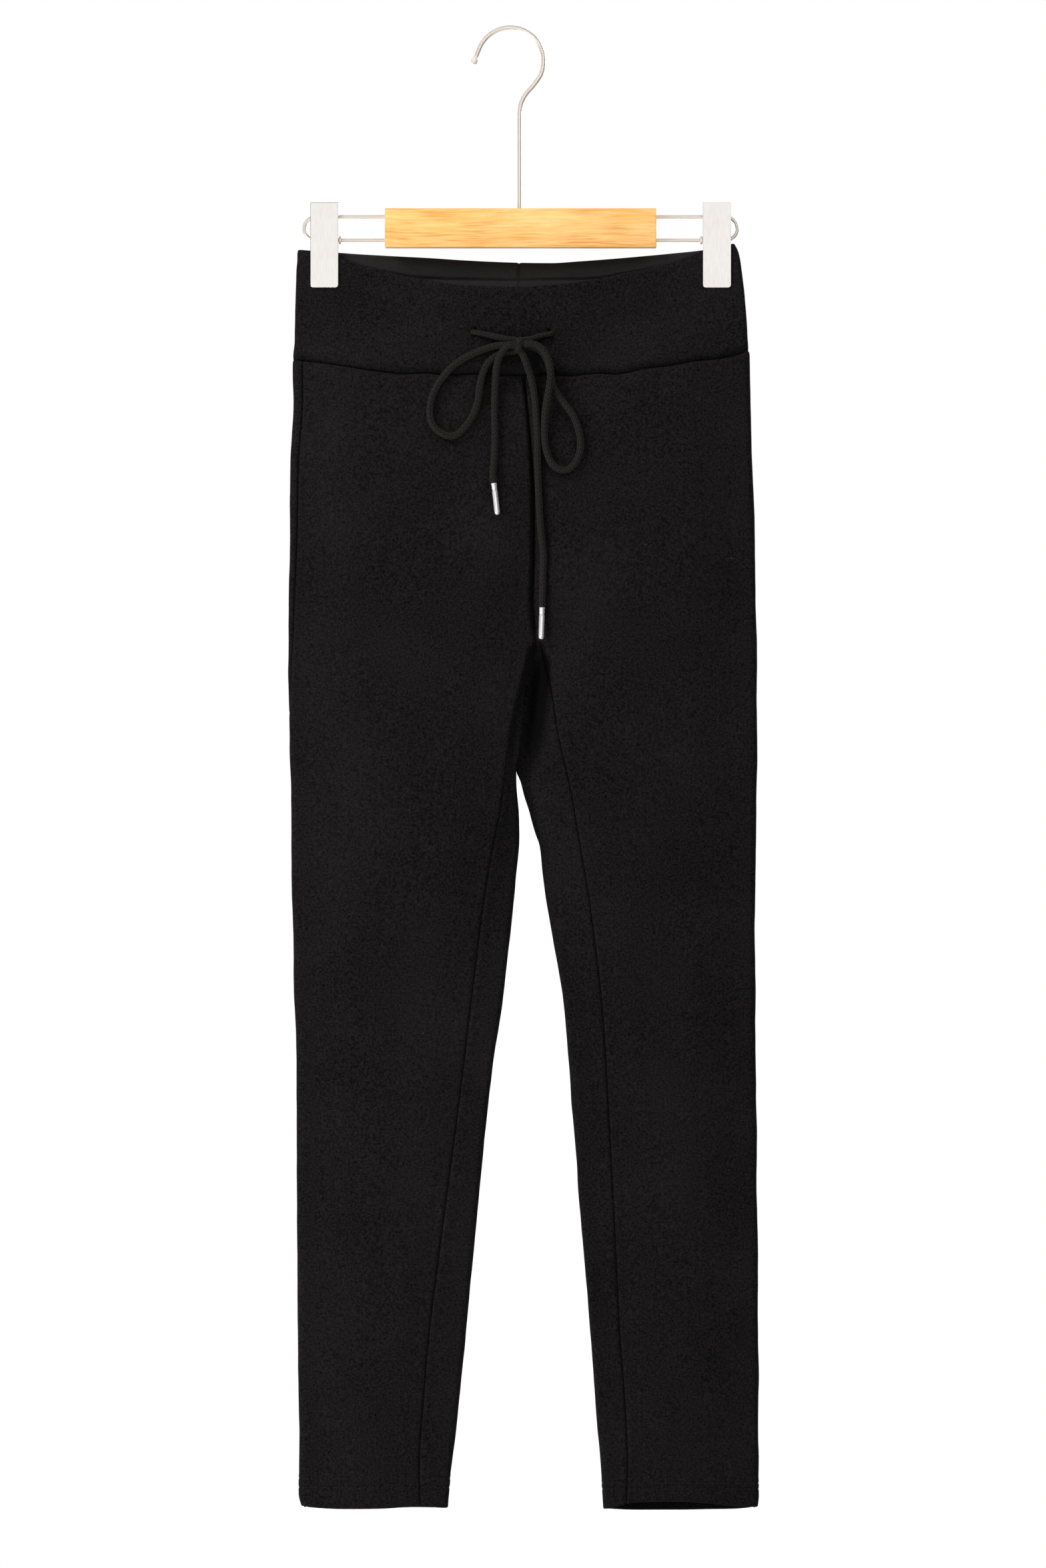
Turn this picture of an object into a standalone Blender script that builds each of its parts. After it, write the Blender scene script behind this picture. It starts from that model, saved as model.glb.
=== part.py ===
"""Drawstring leggings hung by two clips on a wood and wire hanger.

Metres, +Z up. The origin is the inside top of the hook, the front faces -Y, and left and right are the
viewer's. The cloth is walls of real thickness, lofted through level sections that are worked out from short
tables.
"""

import math
from types import SimpleNamespace

import bmesh
import bpy
import numpy as np
from mathutils import Matrix, Vector

MM = 0.001
LEFT, RIGHT = -1, 1
FRONT, BACK = 1, -1

# Cloth: wall thicknesses, the gap at every seam and the radius of the folded edges
LEG_WALL = 1.4 * MM
HEM_WALL = 2.8 * MM
BAND_WALL = 2.4 * MM
SEAM_GAP = 0.3 * MM
FOLD_RADIUS = 4.4 * MM
GARMENT_Y = 4.6 * MM

# Heights of the waist seam at the side folds, of the crotch and of the top of the turned hem
WAIST_LEVEL = -250 * MM
CROTCH_LEVEL = -459 * MM
HEM_TOP = -1086 * MM
WAIST_CURVE_ENDS = -400 * MM
HEM_CURVE_STARTS = -1020 * MM

# Waistband: it is pinched flat in the clips and stands a little proud of the legs
BAND_PROUD = 0.5 * MM
PINCHED_RADIUS = 3.2 * MM
PINCHED_WIDTH = 33 * MM
MOUTH_REACH = 105 * MM
MOUTH_FRONT, MOUTH_BACK = 13 * MM, 8.5 * MM
BAND_ROWS = (0, 0.2, 0.42, 0.58, 0.76, 0.93, 1)
BAND_OPENS = 0.42

# The cloth rises from its folded edge to its full depth over this width
RISE = 50 * MM

# Drawstring
CORD = 4.6 * MM
CORD_GAP = 0.3 * MM
CORD_SPACING = {"end": 5 * MM, "loop": 8 * MM, "tail": 10 * MM}
AGLET = SimpleNamespace(radius=2.1 * MM, length=24 * MM)
KNOT = SimpleNamespace(
    x=6.8 * MM, y=-14.3 * MM, z=-237.2 * MM, width=6.6 * MM, height=11.8 * MM, depth=12.2 * MM,
)
BUTTONHOLE = SimpleNamespace(
    width=9 * MM, height=8.6 * MM, aside=1.6 * MM, floor=-5.6 * MM, front=-12 * MM,
)

# Hanger
HOOK = SimpleNamespace(
    wire=3.2 * MM, inside=23.4 * MM, start=158.3, end=-28, lead=8 * MM, stem_x=7 * MM, seat=15 * MM,
    cap=2.5 * MM, cap_length=4 * MM,
)
BLOCK = SimpleNamespace(
    left=-94 * MM, right=109.5 * MM, top=-134.2 * MM, bottom=-163.7 * MM, thickness=14 * MM, y=2.3 * MM,
)
RAIL = SimpleNamespace(
    wire=2.5 * MM, upper=-140.2 * MM, lower=-157.7 * MM, left=-154.75 * MM, right=170.25 * MM,
)
CLEARANCE = 0.3 * MM
CLIP = SimpleNamespace(
    left=-150 * MM, right=144.5 * MM, width=21 * MM, top=-129.5 * MM, bottom=-193.4 * MM,
    sheet=1 * MM, flange_bottom=-160.6 * MM, corner=2.2 * MM,
)
COLLAR = SimpleNamespace(width=1.6 * MM, radius=2.9 * MM)


def table(names, *rows):
    """Name the columns of a short table whose numbers are millimetres."""
    return dict(zip(names.split(), np.array(rows, float).T * MM))


# Outer edges of the whole garment, from the top of the waistband to the hems
OUTLINE = table(
    "z left right",
    (-161, -158.5, 167.5),
    (-168, -159, 170.5),
    (-178, -160, 172.5),
    (-203, -160.5, 175.5),
    (-233, -161, 177),
    (-251, -162.5, 178.5),
    (-328, -164.5, 180.5),
    (-378, -165, 182.5),
    (-478, -166, 184),
    (-578, -164, 183.5),
    (-678, -162.5, 182.5),
    (-778, -160, 183.5),
    (-878, -160, 184),
    (-978, -159, 184.5),
    (-1078, -158, 185),
    (-1098, -158, 185.5),
    (-1107, -156, 184.6),
)

# Centre seams above the crotch, and how far each half's rounding runs on past them: the valley along the seam
CENTRE = table(
    "z front back overlap",
    (-250, 10.5, 6.5, 60),
    (-262, 11.5, 7, 56),
    (-302, 15, 8.5, 44),
    (-349, 17.5, 11, 32),
    (-396, 17.5, 14, 20),
    (-427, 16.5, 17, 10.5),
    (-446, 18, 18.5, 4.2),
    (-455, 19, 19.2, 1.2),
    (-459, 19.5, 19.5, 0),
)

# Inner folds of the legs below the crotch, the inseams on their front faces, and how far back the fold lies
LEFT_LEG = table(
    "z fold inseam back",
    (-459, 19.35, 19.35, 0),
    (-464, 17.6, 14.2, -0.5),
    (-470, 15.8, 12.8, -0.9),
    (-489, 12.1, 8.2, -1.3),
    (-504, 10.9, 4.6, -1.5),
    (-526, 8.8, 0.2, -1.5),
    (-545, 6.8, -2, -1.5),
    (-555, 4.7, -3.2, -1.5),
    (-566, 4.3, -4.4, -1.3),
    (-587, 5.3, -7.5, -1),
    (-604, 6, -11.2, -0.8),
    (-640, 3.5, -17.6, -0.5),
    (-670, 0, -22, 0),
    (-728, -6.5, -29, 0),
    (-778, -14, -35, 0),
    (-828, -20, -41.3, 0),
    (-878, -25, -48, 0),
    (-928, -29.5, -54.5, 0),
    (-978, -34.5, -60.7, 0),
    (-1028, -39.5, -65, 0),
    (-1078, -45.5, -68.2, 0),
    (-1107, -48, -67.5, 0),
)
RIGHT_LEG = table(
    "z fold inseam back",
    (-459, 19.65, 19.65, 0),
    (-464, 17.9, 23.4, 0.8),
    (-470, 15.9, 24.6, 1.7),
    (-489, 11.2, 29.4, 3.4),
    (-504, 9.5, 32, 3.9),
    (-526, 7.4, 35.4, 3.9),
    (-545, 5.5, 39.6, 3.8),
    (-555, 4.1, 42, 3.6),
    (-564, 7.8, 44, 3.2),
    (-576, 12, 46.4, 2.8),
    (-587, 16, 48.2, 2.6),
    (-604, 20.6, 51, 2.2),
    (-612, 23.4, 52.4, 2),
    (-629, 25.2, 55.3, 1.4),
    (-647, 27.2, 58.3, 1),
    (-676, 32, 62.3, 0.4),
    (-728, 40.5, 68.4, 0),
    (-778, 44.5, 72, 0),
    (-828, 48.5, 74.6, 0),
    (-878, 52, 77.3, 0),
    (-928, 56.5, 79.7, 0),
    (-978, 60.5, 82.2, 0),
    (-1028, 64, 85.8, 0),
    (-1078, 68.5, 88, 0),
    (-1107, 71, 87.2, 0),
)

# Side seams: their distance from the outer fold, positive on the front face and negative on the back
SIDE_SEAM = table(
    "z left right",
    (-250, 7.5, -3),
    (-330, 6.5, -3),
    (-400, 5.2, -3),
    (-440, 3.8, -3),
    (-480, 1.6, -3),
    (-540, -1, -3),
    (-640, -3, -3),
    (-1107, -3, -3),
)

# Half depths of the legs and the seat, before and behind the plane in which the garment hangs
DEPTH = table(
    "z front back",
    (-250, 11.5, 10.8),
    (-330, 11.5, 10.6),
    (-459, 10.6, 10),
    (-600, 9.6, 9.4),
    (-800, 8.6, 8.6),
    (-1000, 8, 8),
    (-1107, 7.4, 7.4),
)

# Waist seam and the two top edges of the waistband, read across the garment
WAIST_SEAM = table(
    "x front back",
    (-163, -247.2, -247.2),
    (-126, -252, -247.4),
    (-95, -257, -246.8),
    (-50, -258.6, -246.2),
    (0, -259.2, -246),
    (50, -259.2, -245.8),
    (90, -256.7, -245.2),
    (117, -251.9, -244.4),
    (139, -249, -243.6),
    (160, -246.2, -242.6),
    (179, -241.2, -241.2),
)
BAND_TOP = table(
    "x front back",
    (-159, -166.2, -166.2),
    (-150, -166.8, -166.5),
    (-127, -172.2, -168.2),
    (-104, -179.7, -169.4),
    (-58, -189.2, -171.4),
    (-36, -192.3, -172.8),
    (6.5, -193.7, -174.3),
    (30, -192.4, -174.5),
    (52, -190, -173.6),
    (89, -182.7, -171.5),
    (123, -174.6, -168.4),
    (143, -167.4, -166.2),
    (155, -164.2, -164),
    (167.5, -161.2, -161.2),
)

# Lower edges of the hems, read across each leg
HEM = table(
    "x front back",
    (-158, -1105.4, -1106),
    (-150, -1106.8, -1107.2),
    (-127, -1108.2, -1108.4),
    (-97, -1107.5, -1108),
    (-69, -1106.3, -1107.4),
    (-48, -1106.8, -1107),
    (71, -1107.6, -1107.4),
    (88, -1104.2, -1107.8),
    (98, -1103.3, -1108.3),
    (128, -1103, -1108.7),
    (148, -1104.3, -1108.6),
    (168, -1106.2, -1108),
    (185, -1106.6, -1106.6),
)

# Levels of the leg panels' rows, closest where the seams meet at the crotch
LEG_ROWS = tuple(
    z * MM
    for z in (
        -250, -268, -295, -325, -358, -390, -418, -438, -450, -456, -459,
        -462.5, -470, -482, -500, -522, -550, -580, -612, -650, -705, -775,
        -860, -950, -1030, -1083, -1087, -1107,
    )
)

# Routes of the drawstring's stretches, each a list of hand-chosen points in millimetres
ROUTES = {
    "drawstring_end_left": (
        (-27.8, -8.2, -227.2), (-25.8, -9.8, -227.5), (-22, -10.8, -228.2), (-15, -10.9, -229.8),
        (-7, -10.7, -231.8), (-1, -10.5, -233), (2.7, -10.5, -233.2),
    ),
    "drawstring_loop_left": (
        (2.6, -13.2, -237.4), (-3, -13.2, -237.2), (-9, -12.8, -237.4), (-15, -12, -238.6),
        (-24, -10.8, -241.8), (-35.5, -10.6, -247.4), (-44, -10.6, -253.6), (-50, -10.6, -260.4),
        (-55.4, -10.2, -268.2), (-59.2, -10, -277.4), (-60.4, -10, -287.6), (-58.8, -10, -295.2),
        (-53.8, -10, -301.4), (-47.4, -10, -304.9), (-41, -10, -304.4), (-35, -10, -299.6),
        (-31, -10, -294.4), (-27.6, -10, -288.4), (-24.6, -10, -279.6), (-22.8, -10.2, -267.6),
        (-20.4, -10.6, -257.6), (-16, -10.7, -249.8), (-10, -10.7, -244.8), (-3, -10.6, -242.2),
        (2.5, -10.5, -241.6),
    ),
    "drawstring_tail_left": (
        (1, -18.2, -237), (-2.4, -18.2, -238), (-5.6, -17.6, -241.6), (-8.6, -16.6, -246.6),
        (-10.2, -14.6, -253), (-11.1, -12.4, -260.5), (-11.5, -10.8, -270), (-12, -10, -286),
        (-11.6, -9.8, -302), (-12.1, -9.7, -320), (-13.2, -9.6, -333), (-12.4, -9.6, -340),
    ),
    "drawstring_end_right": (
        (30.2, -8.2, -228.4), (28.2, -9.8, -228.8), (24.4, -10.8, -229.6), (18.4, -10.8, -231.4),
        (14, -10.5, -232.9), (10.9, -10.5, -233.2),
    ),
    "drawstring_loop_right": (
        (10.9, -15.8, -236.4), (15.4, -16, -236.2), (20.4, -16, -237.8), (25, -16, -241.6),
        (28.4, -16.2, -247.6), (30.1, -16.6, -256), (29.6, -16.6, -265), (28.2, -15.8, -273.6),
        (26.6, -13.6, -283), (25.6, -11.4, -294), (25.6, -10.2, -306), (27, -9.8, -316),
        (31, -9.8, -325.4), (38.4, -9.8, -330.6), (46, -9.8, -328.2), (51, -9.8, -320.4),
        (52.6, -9.9, -311), (51, -9.9, -300), (47, -10, -289.6), (41, -10, -281.4), (35.6, -10.1, -274.2),
        (31.6, -10.2, -266.8), (30, -10.3, -258.6), (28.4, -10.4, -250.4), (24.6, -10.4, -243.4),
        (18.4, -10.8, -239.2), (11.2, -11.2, -238.6),
    ),
    "drawstring_tail_right": (
        (9.6, -15, -244.9), (11.2, -14.6, -248.8), (13, -13.4, -253.8), (15.2, -11.7, -260.6),
        (17.3, -10.4, -270), (19, -9.9, -284), (20, -9.5, -302), (20.4, -8.9, -326), (21.2, -8.2, -348),
        (22.4, -7.5, -370), (24, -7, -386), (24.8, -6.8, -394), (24.5, -6.5, -406), (24.2, -6.3, -420),
        (23.8, -6.2, -433),
    ),
}


def smooth_read(keys, values, where):
    """Read a smooth curve through the values at the keys, which never overshoots between them."""
    order = np.argsort(keys)
    x, y = keys[order], values[order]
    step = np.diff(x)
    slope = np.diff(y) / step
    tangent = np.zeros(len(y))
    before, after = slope[:-1], slope[1:]
    same = before * after > 0
    tangent[1:-1][same] = 2 * before[same] * after[same] / (before[same] + after[same])
    tangent[0], tangent[-1] = slope[0], slope[-1]
    where = min(max(where, x[0]), x[-1])
    i = min(max(int(np.searchsorted(x, where)) - 1, 0), len(x) - 2)
    t = (where - x[i]) / step[i]
    start = (2 * t**3 - 3 * t**2 + 1) * y[i] + (t**3 - 2 * t**2 + t) * step[i] * tangent[i]
    end = (3 * t**2 - 2 * t**3) * y[i + 1] + (t**3 - t**2) * step[i] * tangent[i + 1]
    return float(start + end)


def read(rows, column, where):
    """Read one column of a table at a value of its first column."""
    first = next(iter(rows))
    return smooth_read(rows[first], rows[column], where)


def ease(t):
    """Go smoothly from 0 to 1."""
    t = min(max(t, 0.0), 1.0)
    return t * t * (3 - 2 * t)


def mix(a, b, t):
    return a + (b - a) * t


def face_name(face):
    return "front" if face == FRONT else "back"


def arc_to_distance(s, radius):
    """Distance in from a folded edge of a point that lies s along the cloth from it."""
    quarter = radius * math.pi / 2
    if abs(s) < quarter:
        return radius * (1 - math.cos(s / radius))
    return radius + abs(s) - quarter


def distance_to_arc(d, radius):
    """Length along the cloth from a folded edge to a point that lies d in from it, with d's sign."""
    if abs(d) < radius:
        length = radius * math.acos(1 - abs(d) / radius)
    else:
        length = radius * math.pi / 2 + abs(d) - radius
    return math.copysign(length, d)


def bulge(d, radius, start, reach, depth):
    """Half depth of the flattened cloth tube at a distance d in from its folded edge."""
    if d < radius:
        return math.sqrt(max(d * (2 * radius - d), 0.0))
    rise = min(max((d - start) / reach, 0.0), 1.0)
    return radius + (depth - radius) * math.sin(rise * math.pi / 2) ** 2


def level(side, z):
    """Edges and folds of one half of the garment at a height below the waist seam."""
    at = SimpleNamespace(outer=read(OUTLINE, "left" if side == LEFT else "right", z))
    at.side_seam = distance_to_arc(read(SIDE_SEAM, "left" if side == LEFT else "right", z), FOLD_RADIUS)
    at.depth = {face: read(DEPTH, face_name(face), z) for face in (FRONT, BACK)}
    if z >= CROTCH_LEVEL:
        overlap = read(CENTRE, "overlap", z)
        at.inner = {
            face: read(CENTRE, face_name(face), z) + side * (SEAM_GAP / 2 - overlap) for face in (FRONT, BACK)
        }
        seam = max(distance_to_arc(overlap, FOLD_RADIUS), SEAM_GAP / 2)
        at.front_seam, at.back_seam, at.shift = seam, -seam, 0.0
    else:
        leg = LEFT_LEG if side == LEFT else RIGHT_LEG
        fold = read(leg, "fold", z)
        at.inner = {FRONT: fold, BACK: fold}
        seam = distance_to_arc(abs(read(leg, "inseam", z) - fold), FOLD_RADIUS)
        at.front_seam, at.back_seam = seam + SEAM_GAP / 2, seam - SEAM_GAP / 2
        at.shift = read(leg, "back", z)
    return at


def leg_section(at, side, fold, s):
    """A point of a leg's outer skin, s along the cloth from a fold, on the front face where s is positive."""
    face = FRONT if s > 0 else BACK
    inner = at.inner[face]
    d = arc_to_distance(s, FOLD_RADIUS)
    x = at.outer - side * d if fold == "outer" else inner + side * d
    depth = at.depth[face]
    from_outer = bulge(abs(x - at.outer), FOLD_RADIUS, FOLD_RADIUS, RISE, depth)
    from_inner = bulge(abs(x - inner), FOLD_RADIUS, FOLD_RADIUS, RISE, depth)
    lean = at.shift * (1 - ease(abs(x - inner) / RISE))
    return np.array((x, GARMENT_Y + lean - face * from_outer * from_inner / depth))


def inward(section, s, outward_side):
    """Unit direction into the cloth at a point of a section, where s grows from the back to the front."""
    step = 0.1 * MM
    along = section(s + step) - section(s - step)
    along /= np.linalg.norm(along)
    return outward_side * np.array((along[1], -along[0]))


def leg_height(x, z, face):
    """Height of a point of a row, bent to the waist seam at the top and to the hem at the bottom."""
    near_waist = ease((z - WAIST_CURVE_ENDS) / (WAIST_LEVEL - WAIST_CURVE_ENDS))
    near_hem = ease((HEM_CURVE_STARTS - z) / (HEM_CURVE_STARTS - LEG_ROWS[-1]))
    bend = (read(WAIST_SEAM, face_name(face), x) - WAIST_LEVEL) * near_waist
    bend += (read(HEM, face_name(face), x) - LEG_ROWS[-1]) * near_hem
    return z + bend


def spaced(start, end, count):
    """Evenly spaced values from start, without end."""
    return [mix(start, end, i / count) for i in range(count)]


def across(at, side, face, s_outer, s_inner, count):
    """Places across a flat face, from s_outer past the outer fold to s_inner before the inner one."""
    start = at.outer - side * arc_to_distance(s_outer, FOLD_RADIUS)
    end = at.inner[face] + side * arc_to_distance(s_inner, FOLD_RADIUS)
    flat = [abs(x - at.outer) for x in spaced(start, end, count)]
    return [("outer", face * distance_to_arc(d, FOLD_RADIUS)) for d in flat]


def front_stations(at, side):
    """Places of a front panel's columns on one row, from the side seam to the centre seam or inseam."""
    flat = FOLD_RADIUS * math.pi / 2 + 4 * MM
    start = at.side_seam + SEAM_GAP / 2
    turned = max(flat, start + 3 * MM)
    before_seam = max(flat, at.front_seam + 4 * MM)
    places = [("outer", s) for s in spaced(start, turned, 5)]
    places += across(at, side, FRONT, turned, before_seam, 7)
    places += [("inner", s) for s in spaced(before_seam, at.front_seam, 3)]
    return places + [("inner", at.front_seam)]


def back_stations(at, side):
    """Places of a back panel's columns on one row, from the side seam to the centre seam or inseam."""
    flat = FOLD_RADIUS * math.pi / 2 + 4 * MM
    start = at.side_seam - SEAM_GAP / 2
    before_fold = -max(flat, 8 * MM - at.back_seam)
    past_fold = min(at.back_seam - 1.5 * MM, 8 * MM)
    places = [("outer", s) for s in spaced(start, -flat, 7)]
    places += across(at, side, BACK, -flat, before_fold, 6)
    places += [("inner", s) for s in spaced(before_fold, past_fold, 6)]
    places += [("inner", s) for s in spaced(past_fold, at.back_seam, 2)]
    return places + [("inner", at.back_seam)]


def leg_skins(side, stations):
    """Outer and inner rows of points of one leg panel."""
    outer_rows, inner_rows = [], []
    for row, z in enumerate(LEG_ROWS):
        at = level(side, z)
        wall = HEM_WALL if z <= HEM_TOP else LEG_WALL
        lower = SEAM_GAP / 2 if row == 0 else 0.0
        outer_row, inner_row = [], []
        for fold, s in stations(at, side):
            face = FRONT if s > 0 else BACK

            def section(place, fold=fold):
                return leg_section(at, side, fold, place)

            point = section(s)
            direction = inward(section, s, side if fold == "outer" else -side)
            height = leg_height(point[0], z, face) - lower
            deep = point + direction * wall
            outer_row.append((point[0], point[1], height))
            inner_row.append((deep[0], deep[1], height))
        outer_rows.append(outer_row)
        inner_rows.append(inner_row)
    return outer_rows, inner_rows


def band_section(side, s, v):
    """A point of the waistband's outer skin at the share v of its height, s along from its side fold."""
    face = FRONT if s > 0 else BACK
    edge = "left" if side == LEFT else "right"
    seam_edge = read(OUTLINE, edge, WAIST_LEVEL)
    corner = read(BAND_TOP, "front", -1.0 if side == LEFT else 1.0)
    side_z = mix(corner, read(WAIST_SEAM, "front", seam_edge), v)
    opened = ease((v - BAND_OPENS) / (1 - BAND_OPENS))
    radius = mix(PINCHED_RADIUS, FOLD_RADIUS + BAND_PROUD, opened)
    from_leg_fold = arc_to_distance(s, FOLD_RADIUS)
    if from_leg_fold < FOLD_RADIUS:
        d = radius * (1 - math.cos(s / FOLD_RADIUS))
    else:
        d = from_leg_fold + radius - FOLD_RADIUS
    near_fold = 1 - ease(from_leg_fold / abs(read(CENTRE, face_name(face), WAIST_LEVEL) - seam_edge))
    drift = read(OUTLINE, edge, side_z) - seam_edge + side * BAND_PROUD * opened
    x = seam_edge + drift * near_fold - side * mix(from_leg_fold, d, near_fold)
    mouth = MOUTH_FRONT if face == FRONT else MOUTH_BACK
    depth = mix(mouth, read(DEPTH, face_name(face), WAIST_LEVEL) + BAND_PROUD, ease(v))
    half = bulge(d, radius, mix(PINCHED_WIDTH, radius, opened), mix(MOUTH_REACH, RISE, opened), depth)
    tuck = 0.6 * MM * ease((v - 0.93) / 0.07)
    return np.array((x, GARMENT_Y - face * (half - min(tuck, half))))


def band_stations():
    """Columns of the waistband, from the centre back seam by the left fold and the front back to the seam."""
    places = []
    for side in (LEFT, RIGHT):
        at = level(side, WAIST_LEVEL)
        columns = [(side, *place) for place in reversed(back_stations(at, side))]
        columns += [(side, *place) for place in front_stations(at, side)]
        rings = []
        for _, fold, s in columns:
            x = leg_section(at, side, fold, s)[0]
            if fold == "inner":
                s = math.copysign(distance_to_arc(abs(x - at.outer), FOLD_RADIUS), s)
            rings.append((side, s))
        places += rings if side == LEFT else list(reversed(rings))[1:]
    return places


def band_skins():
    """Outer and inner rows of points of the waistband, a ring that is open at the centre back seam."""
    outer_rows, inner_rows = [], []
    stations = band_stations()
    for v in BAND_ROWS:
        outer_row, inner_row = [], []
        for side, s in stations:
            face = face_name(FRONT if s > 0 else BACK)

            def section(place, side=side):
                return band_section(side, place, v)

            point = section(s)
            deep = point + inward(section, s, side) * BAND_WALL
            height = mix(read(BAND_TOP, face, point[0]), read(WAIST_SEAM, face, point[0]) + SEAM_GAP / 2, v)
            outer_row.append((point[0], point[1], height))
            inner_row.append((deep[0], deep[1], height))
        outer_rows.append(outer_row)
        inner_rows.append(inner_row)
    return outer_rows, inner_rows


def start_scene(name):
    """Remove what is in the scene, and make the collections for the parts and for the cutters."""
    for thing in list(bpy.data.objects):
        bpy.data.objects.remove(thing, do_unlink=True)
    made = []
    for title in (name, "cutters"):
        collection = bpy.data.collections.new(title)
        bpy.context.scene.collection.children.link(collection)
        made.append(collection)
    return made


def material(name, colour, roughness, metallic=0.0):
    surface = bpy.data.materials.new(name)
    surface.use_nodes = True
    shader = surface.node_tree.nodes["Principled BSDF"]
    shader.inputs["Base Color"].default_value = (*colour, 1)
    shader.inputs["Roughness"].default_value = roughness
    shader.inputs["Metallic"].default_value = metallic
    return surface


def finish_object(thing, surface, collection):
    """Put an object in its collection only, with its material, shaded smooth but for its sharp edges."""
    for old in list(thing.users_collection):
        old.objects.unlink(thing)
    collection.objects.link(thing)
    thing.data.materials.clear()
    thing.data.materials.append(surface)
    if thing.type == "MESH":
        thing.data.shade_smooth()
        thing.data.set_sharp_from_angle(angle=math.radians(40))
    return thing


def object_from_bmesh(name, mesh_in, surface, collection):
    bmesh.ops.recalc_face_normals(mesh_in, faces=mesh_in.faces)
    mesh = bpy.data.meshes.new(name)
    mesh_in.to_mesh(mesh)
    mesh_in.free()
    return finish_object(bpy.data.objects.new(name, mesh), surface, collection)


def cloth_wall(name, skins, surface, collection):
    """Loft a closed wall between an outer and an inner grid of points."""
    outer_rows, inner_rows = skins
    mesh_in = bmesh.new()
    outer = [[mesh_in.verts.new(p) for p in row] for row in outer_rows]
    inner = [[mesh_in.verts.new(p) for p in row] for row in inner_rows]
    last_row, last_column = len(outer) - 1, len(outer[0]) - 1
    for r in range(last_row):
        for c in range(last_column):
            for grid in (outer, inner):
                mesh_in.faces.new((grid[r][c], grid[r][c + 1], grid[r + 1][c + 1], grid[r + 1][c]))
    for r in range(last_row):
        for c in (0, last_column):
            mesh_in.faces.new((outer[r][c], outer[r + 1][c], inner[r + 1][c], inner[r][c]))
    for c in range(last_column):
        for r in (0, last_row):
            mesh_in.faces.new((outer[r][c], outer[r][c + 1], inner[r][c + 1], inner[r][c]))
    return object_from_bmesh(name, mesh_in, surface, collection)


def smooth_route(points, spacing):
    """Points a set distance apart along a smooth curve through the given ones."""
    given = [Vector(p) for p in points]
    ends = [given[0] * 2 - given[1], *given, given[-1] * 2 - given[-2]]
    fine = []
    for a, b, c, d in zip(ends, ends[1:], ends[2:], ends[3:]):
        slope, bend, twist = (c - a) / 2, a - 2.5 * b + 2 * c - d / 2, (3 * b - a - 3 * c + d) / 2
        for i in range(12):
            t = i / 12
            fine.append(b + slope * t + bend * t**2 + twist * t**3)
    fine.append(given[-1])
    lengths = np.concatenate(([0], np.cumsum([(q - p).length for p, q in zip(fine, fine[1:])])))
    count = max(2, round(lengths[-1] / spacing))
    wanted = np.linspace(0, lengths[-1], count + 1)
    coords = np.array(fine)
    return [tuple(np.interp(w, lengths, coords[:, axis]) for axis in range(3)) for w in wanted]


def tube(name, points, diameter, surface, collection, resolution=2, closed=False):
    """A round wire or cord along a line of points."""
    curve = bpy.data.curves.new(name, "CURVE")
    curve.dimensions = "3D"
    curve.bevel_depth = diameter / 2
    curve.bevel_resolution = resolution
    curve.use_fill_caps = not closed
    spline = curve.splines.new("POLY")
    spline.points.add(len(points) - 1)
    for slot, point in zip(spline.points, points):
        slot.co = (*point, 1)
    spline.use_cyclic_u = closed
    spline.use_smooth = True
    return finish_object(bpy.data.objects.new(name, curve), surface, collection)


def box(name, low, high, surface, collection, round_edges=0.0):
    """A box between two corners, its edges rounded with a Bevel."""
    low, high = Vector(low), Vector(high)
    bpy.ops.mesh.primitive_cube_add(size=1, location=(low + high) / 2)
    thing = bpy.context.object
    thing.name = name
    thing.data.transform(Matrix.Diagonal((*(high - low), 1)))
    if round_edges:
        bevel = thing.modifiers.new("rounded", "BEVEL")
        bevel.width = round_edges
        bevel.segments = 2
    return finish_object(thing, surface, collection)


def rod(name, start, end, radius, surface, collection, sides=16):
    """A cylinder from one point to another."""
    start, end = Vector(start), Vector(end)
    bpy.ops.mesh.primitive_cylinder_add(
        radius=radius, depth=(end - start).length, vertices=sides, location=(start + end) / 2,
        rotation=(end - start).to_track_quat("Z", "Y").to_euler(),
    )
    thing = bpy.context.object
    thing.name = name
    return finish_object(thing, surface, collection)


def make_cutter(thing):
    thing.hide_render = True
    thing.display_type = "WIRE"
    return thing


def boolean(thing, other, operation):
    step = thing.modifiers.new(f"{operation.lower()} {other.name}", "BOOLEAN")
    step.operation = operation
    step.object = other


def make_block(parts, cutters, wood, plain):
    """The wooden block, bored through for the two rails and from above for the hook."""
    half = BLOCK.thickness / 2
    block = box(
        "hanger_block", (BLOCK.left, BLOCK.y - half, BLOCK.bottom), (BLOCK.right, BLOCK.y + half, BLOCK.top),
        wood, parts, 0.8 * MM,
    )
    past = 5 * MM
    for label, z in (("upper", RAIL.upper), ("lower", RAIL.lower)):
        bore = rod(
            f"{label} rail bore", (BLOCK.left - past, GARMENT_Y, z), (BLOCK.right + past, GARMENT_Y, z),
            RAIL.wire / 2 + CLEARANCE, plain, cutters,
        )
        boolean(block, make_cutter(bore), "DIFFERENCE")
    seat = rod(
        "hook bore", (HOOK.stem_x, 0, BLOCK.top - HOOK.seat - CLEARANCE), (HOOK.stem_x, 0, BLOCK.top + past),
        HOOK.wire / 2 + CLEARANCE, plain, cutters,
    )
    boolean(block, make_cutter(seat), "DIFFERENCE")


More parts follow.
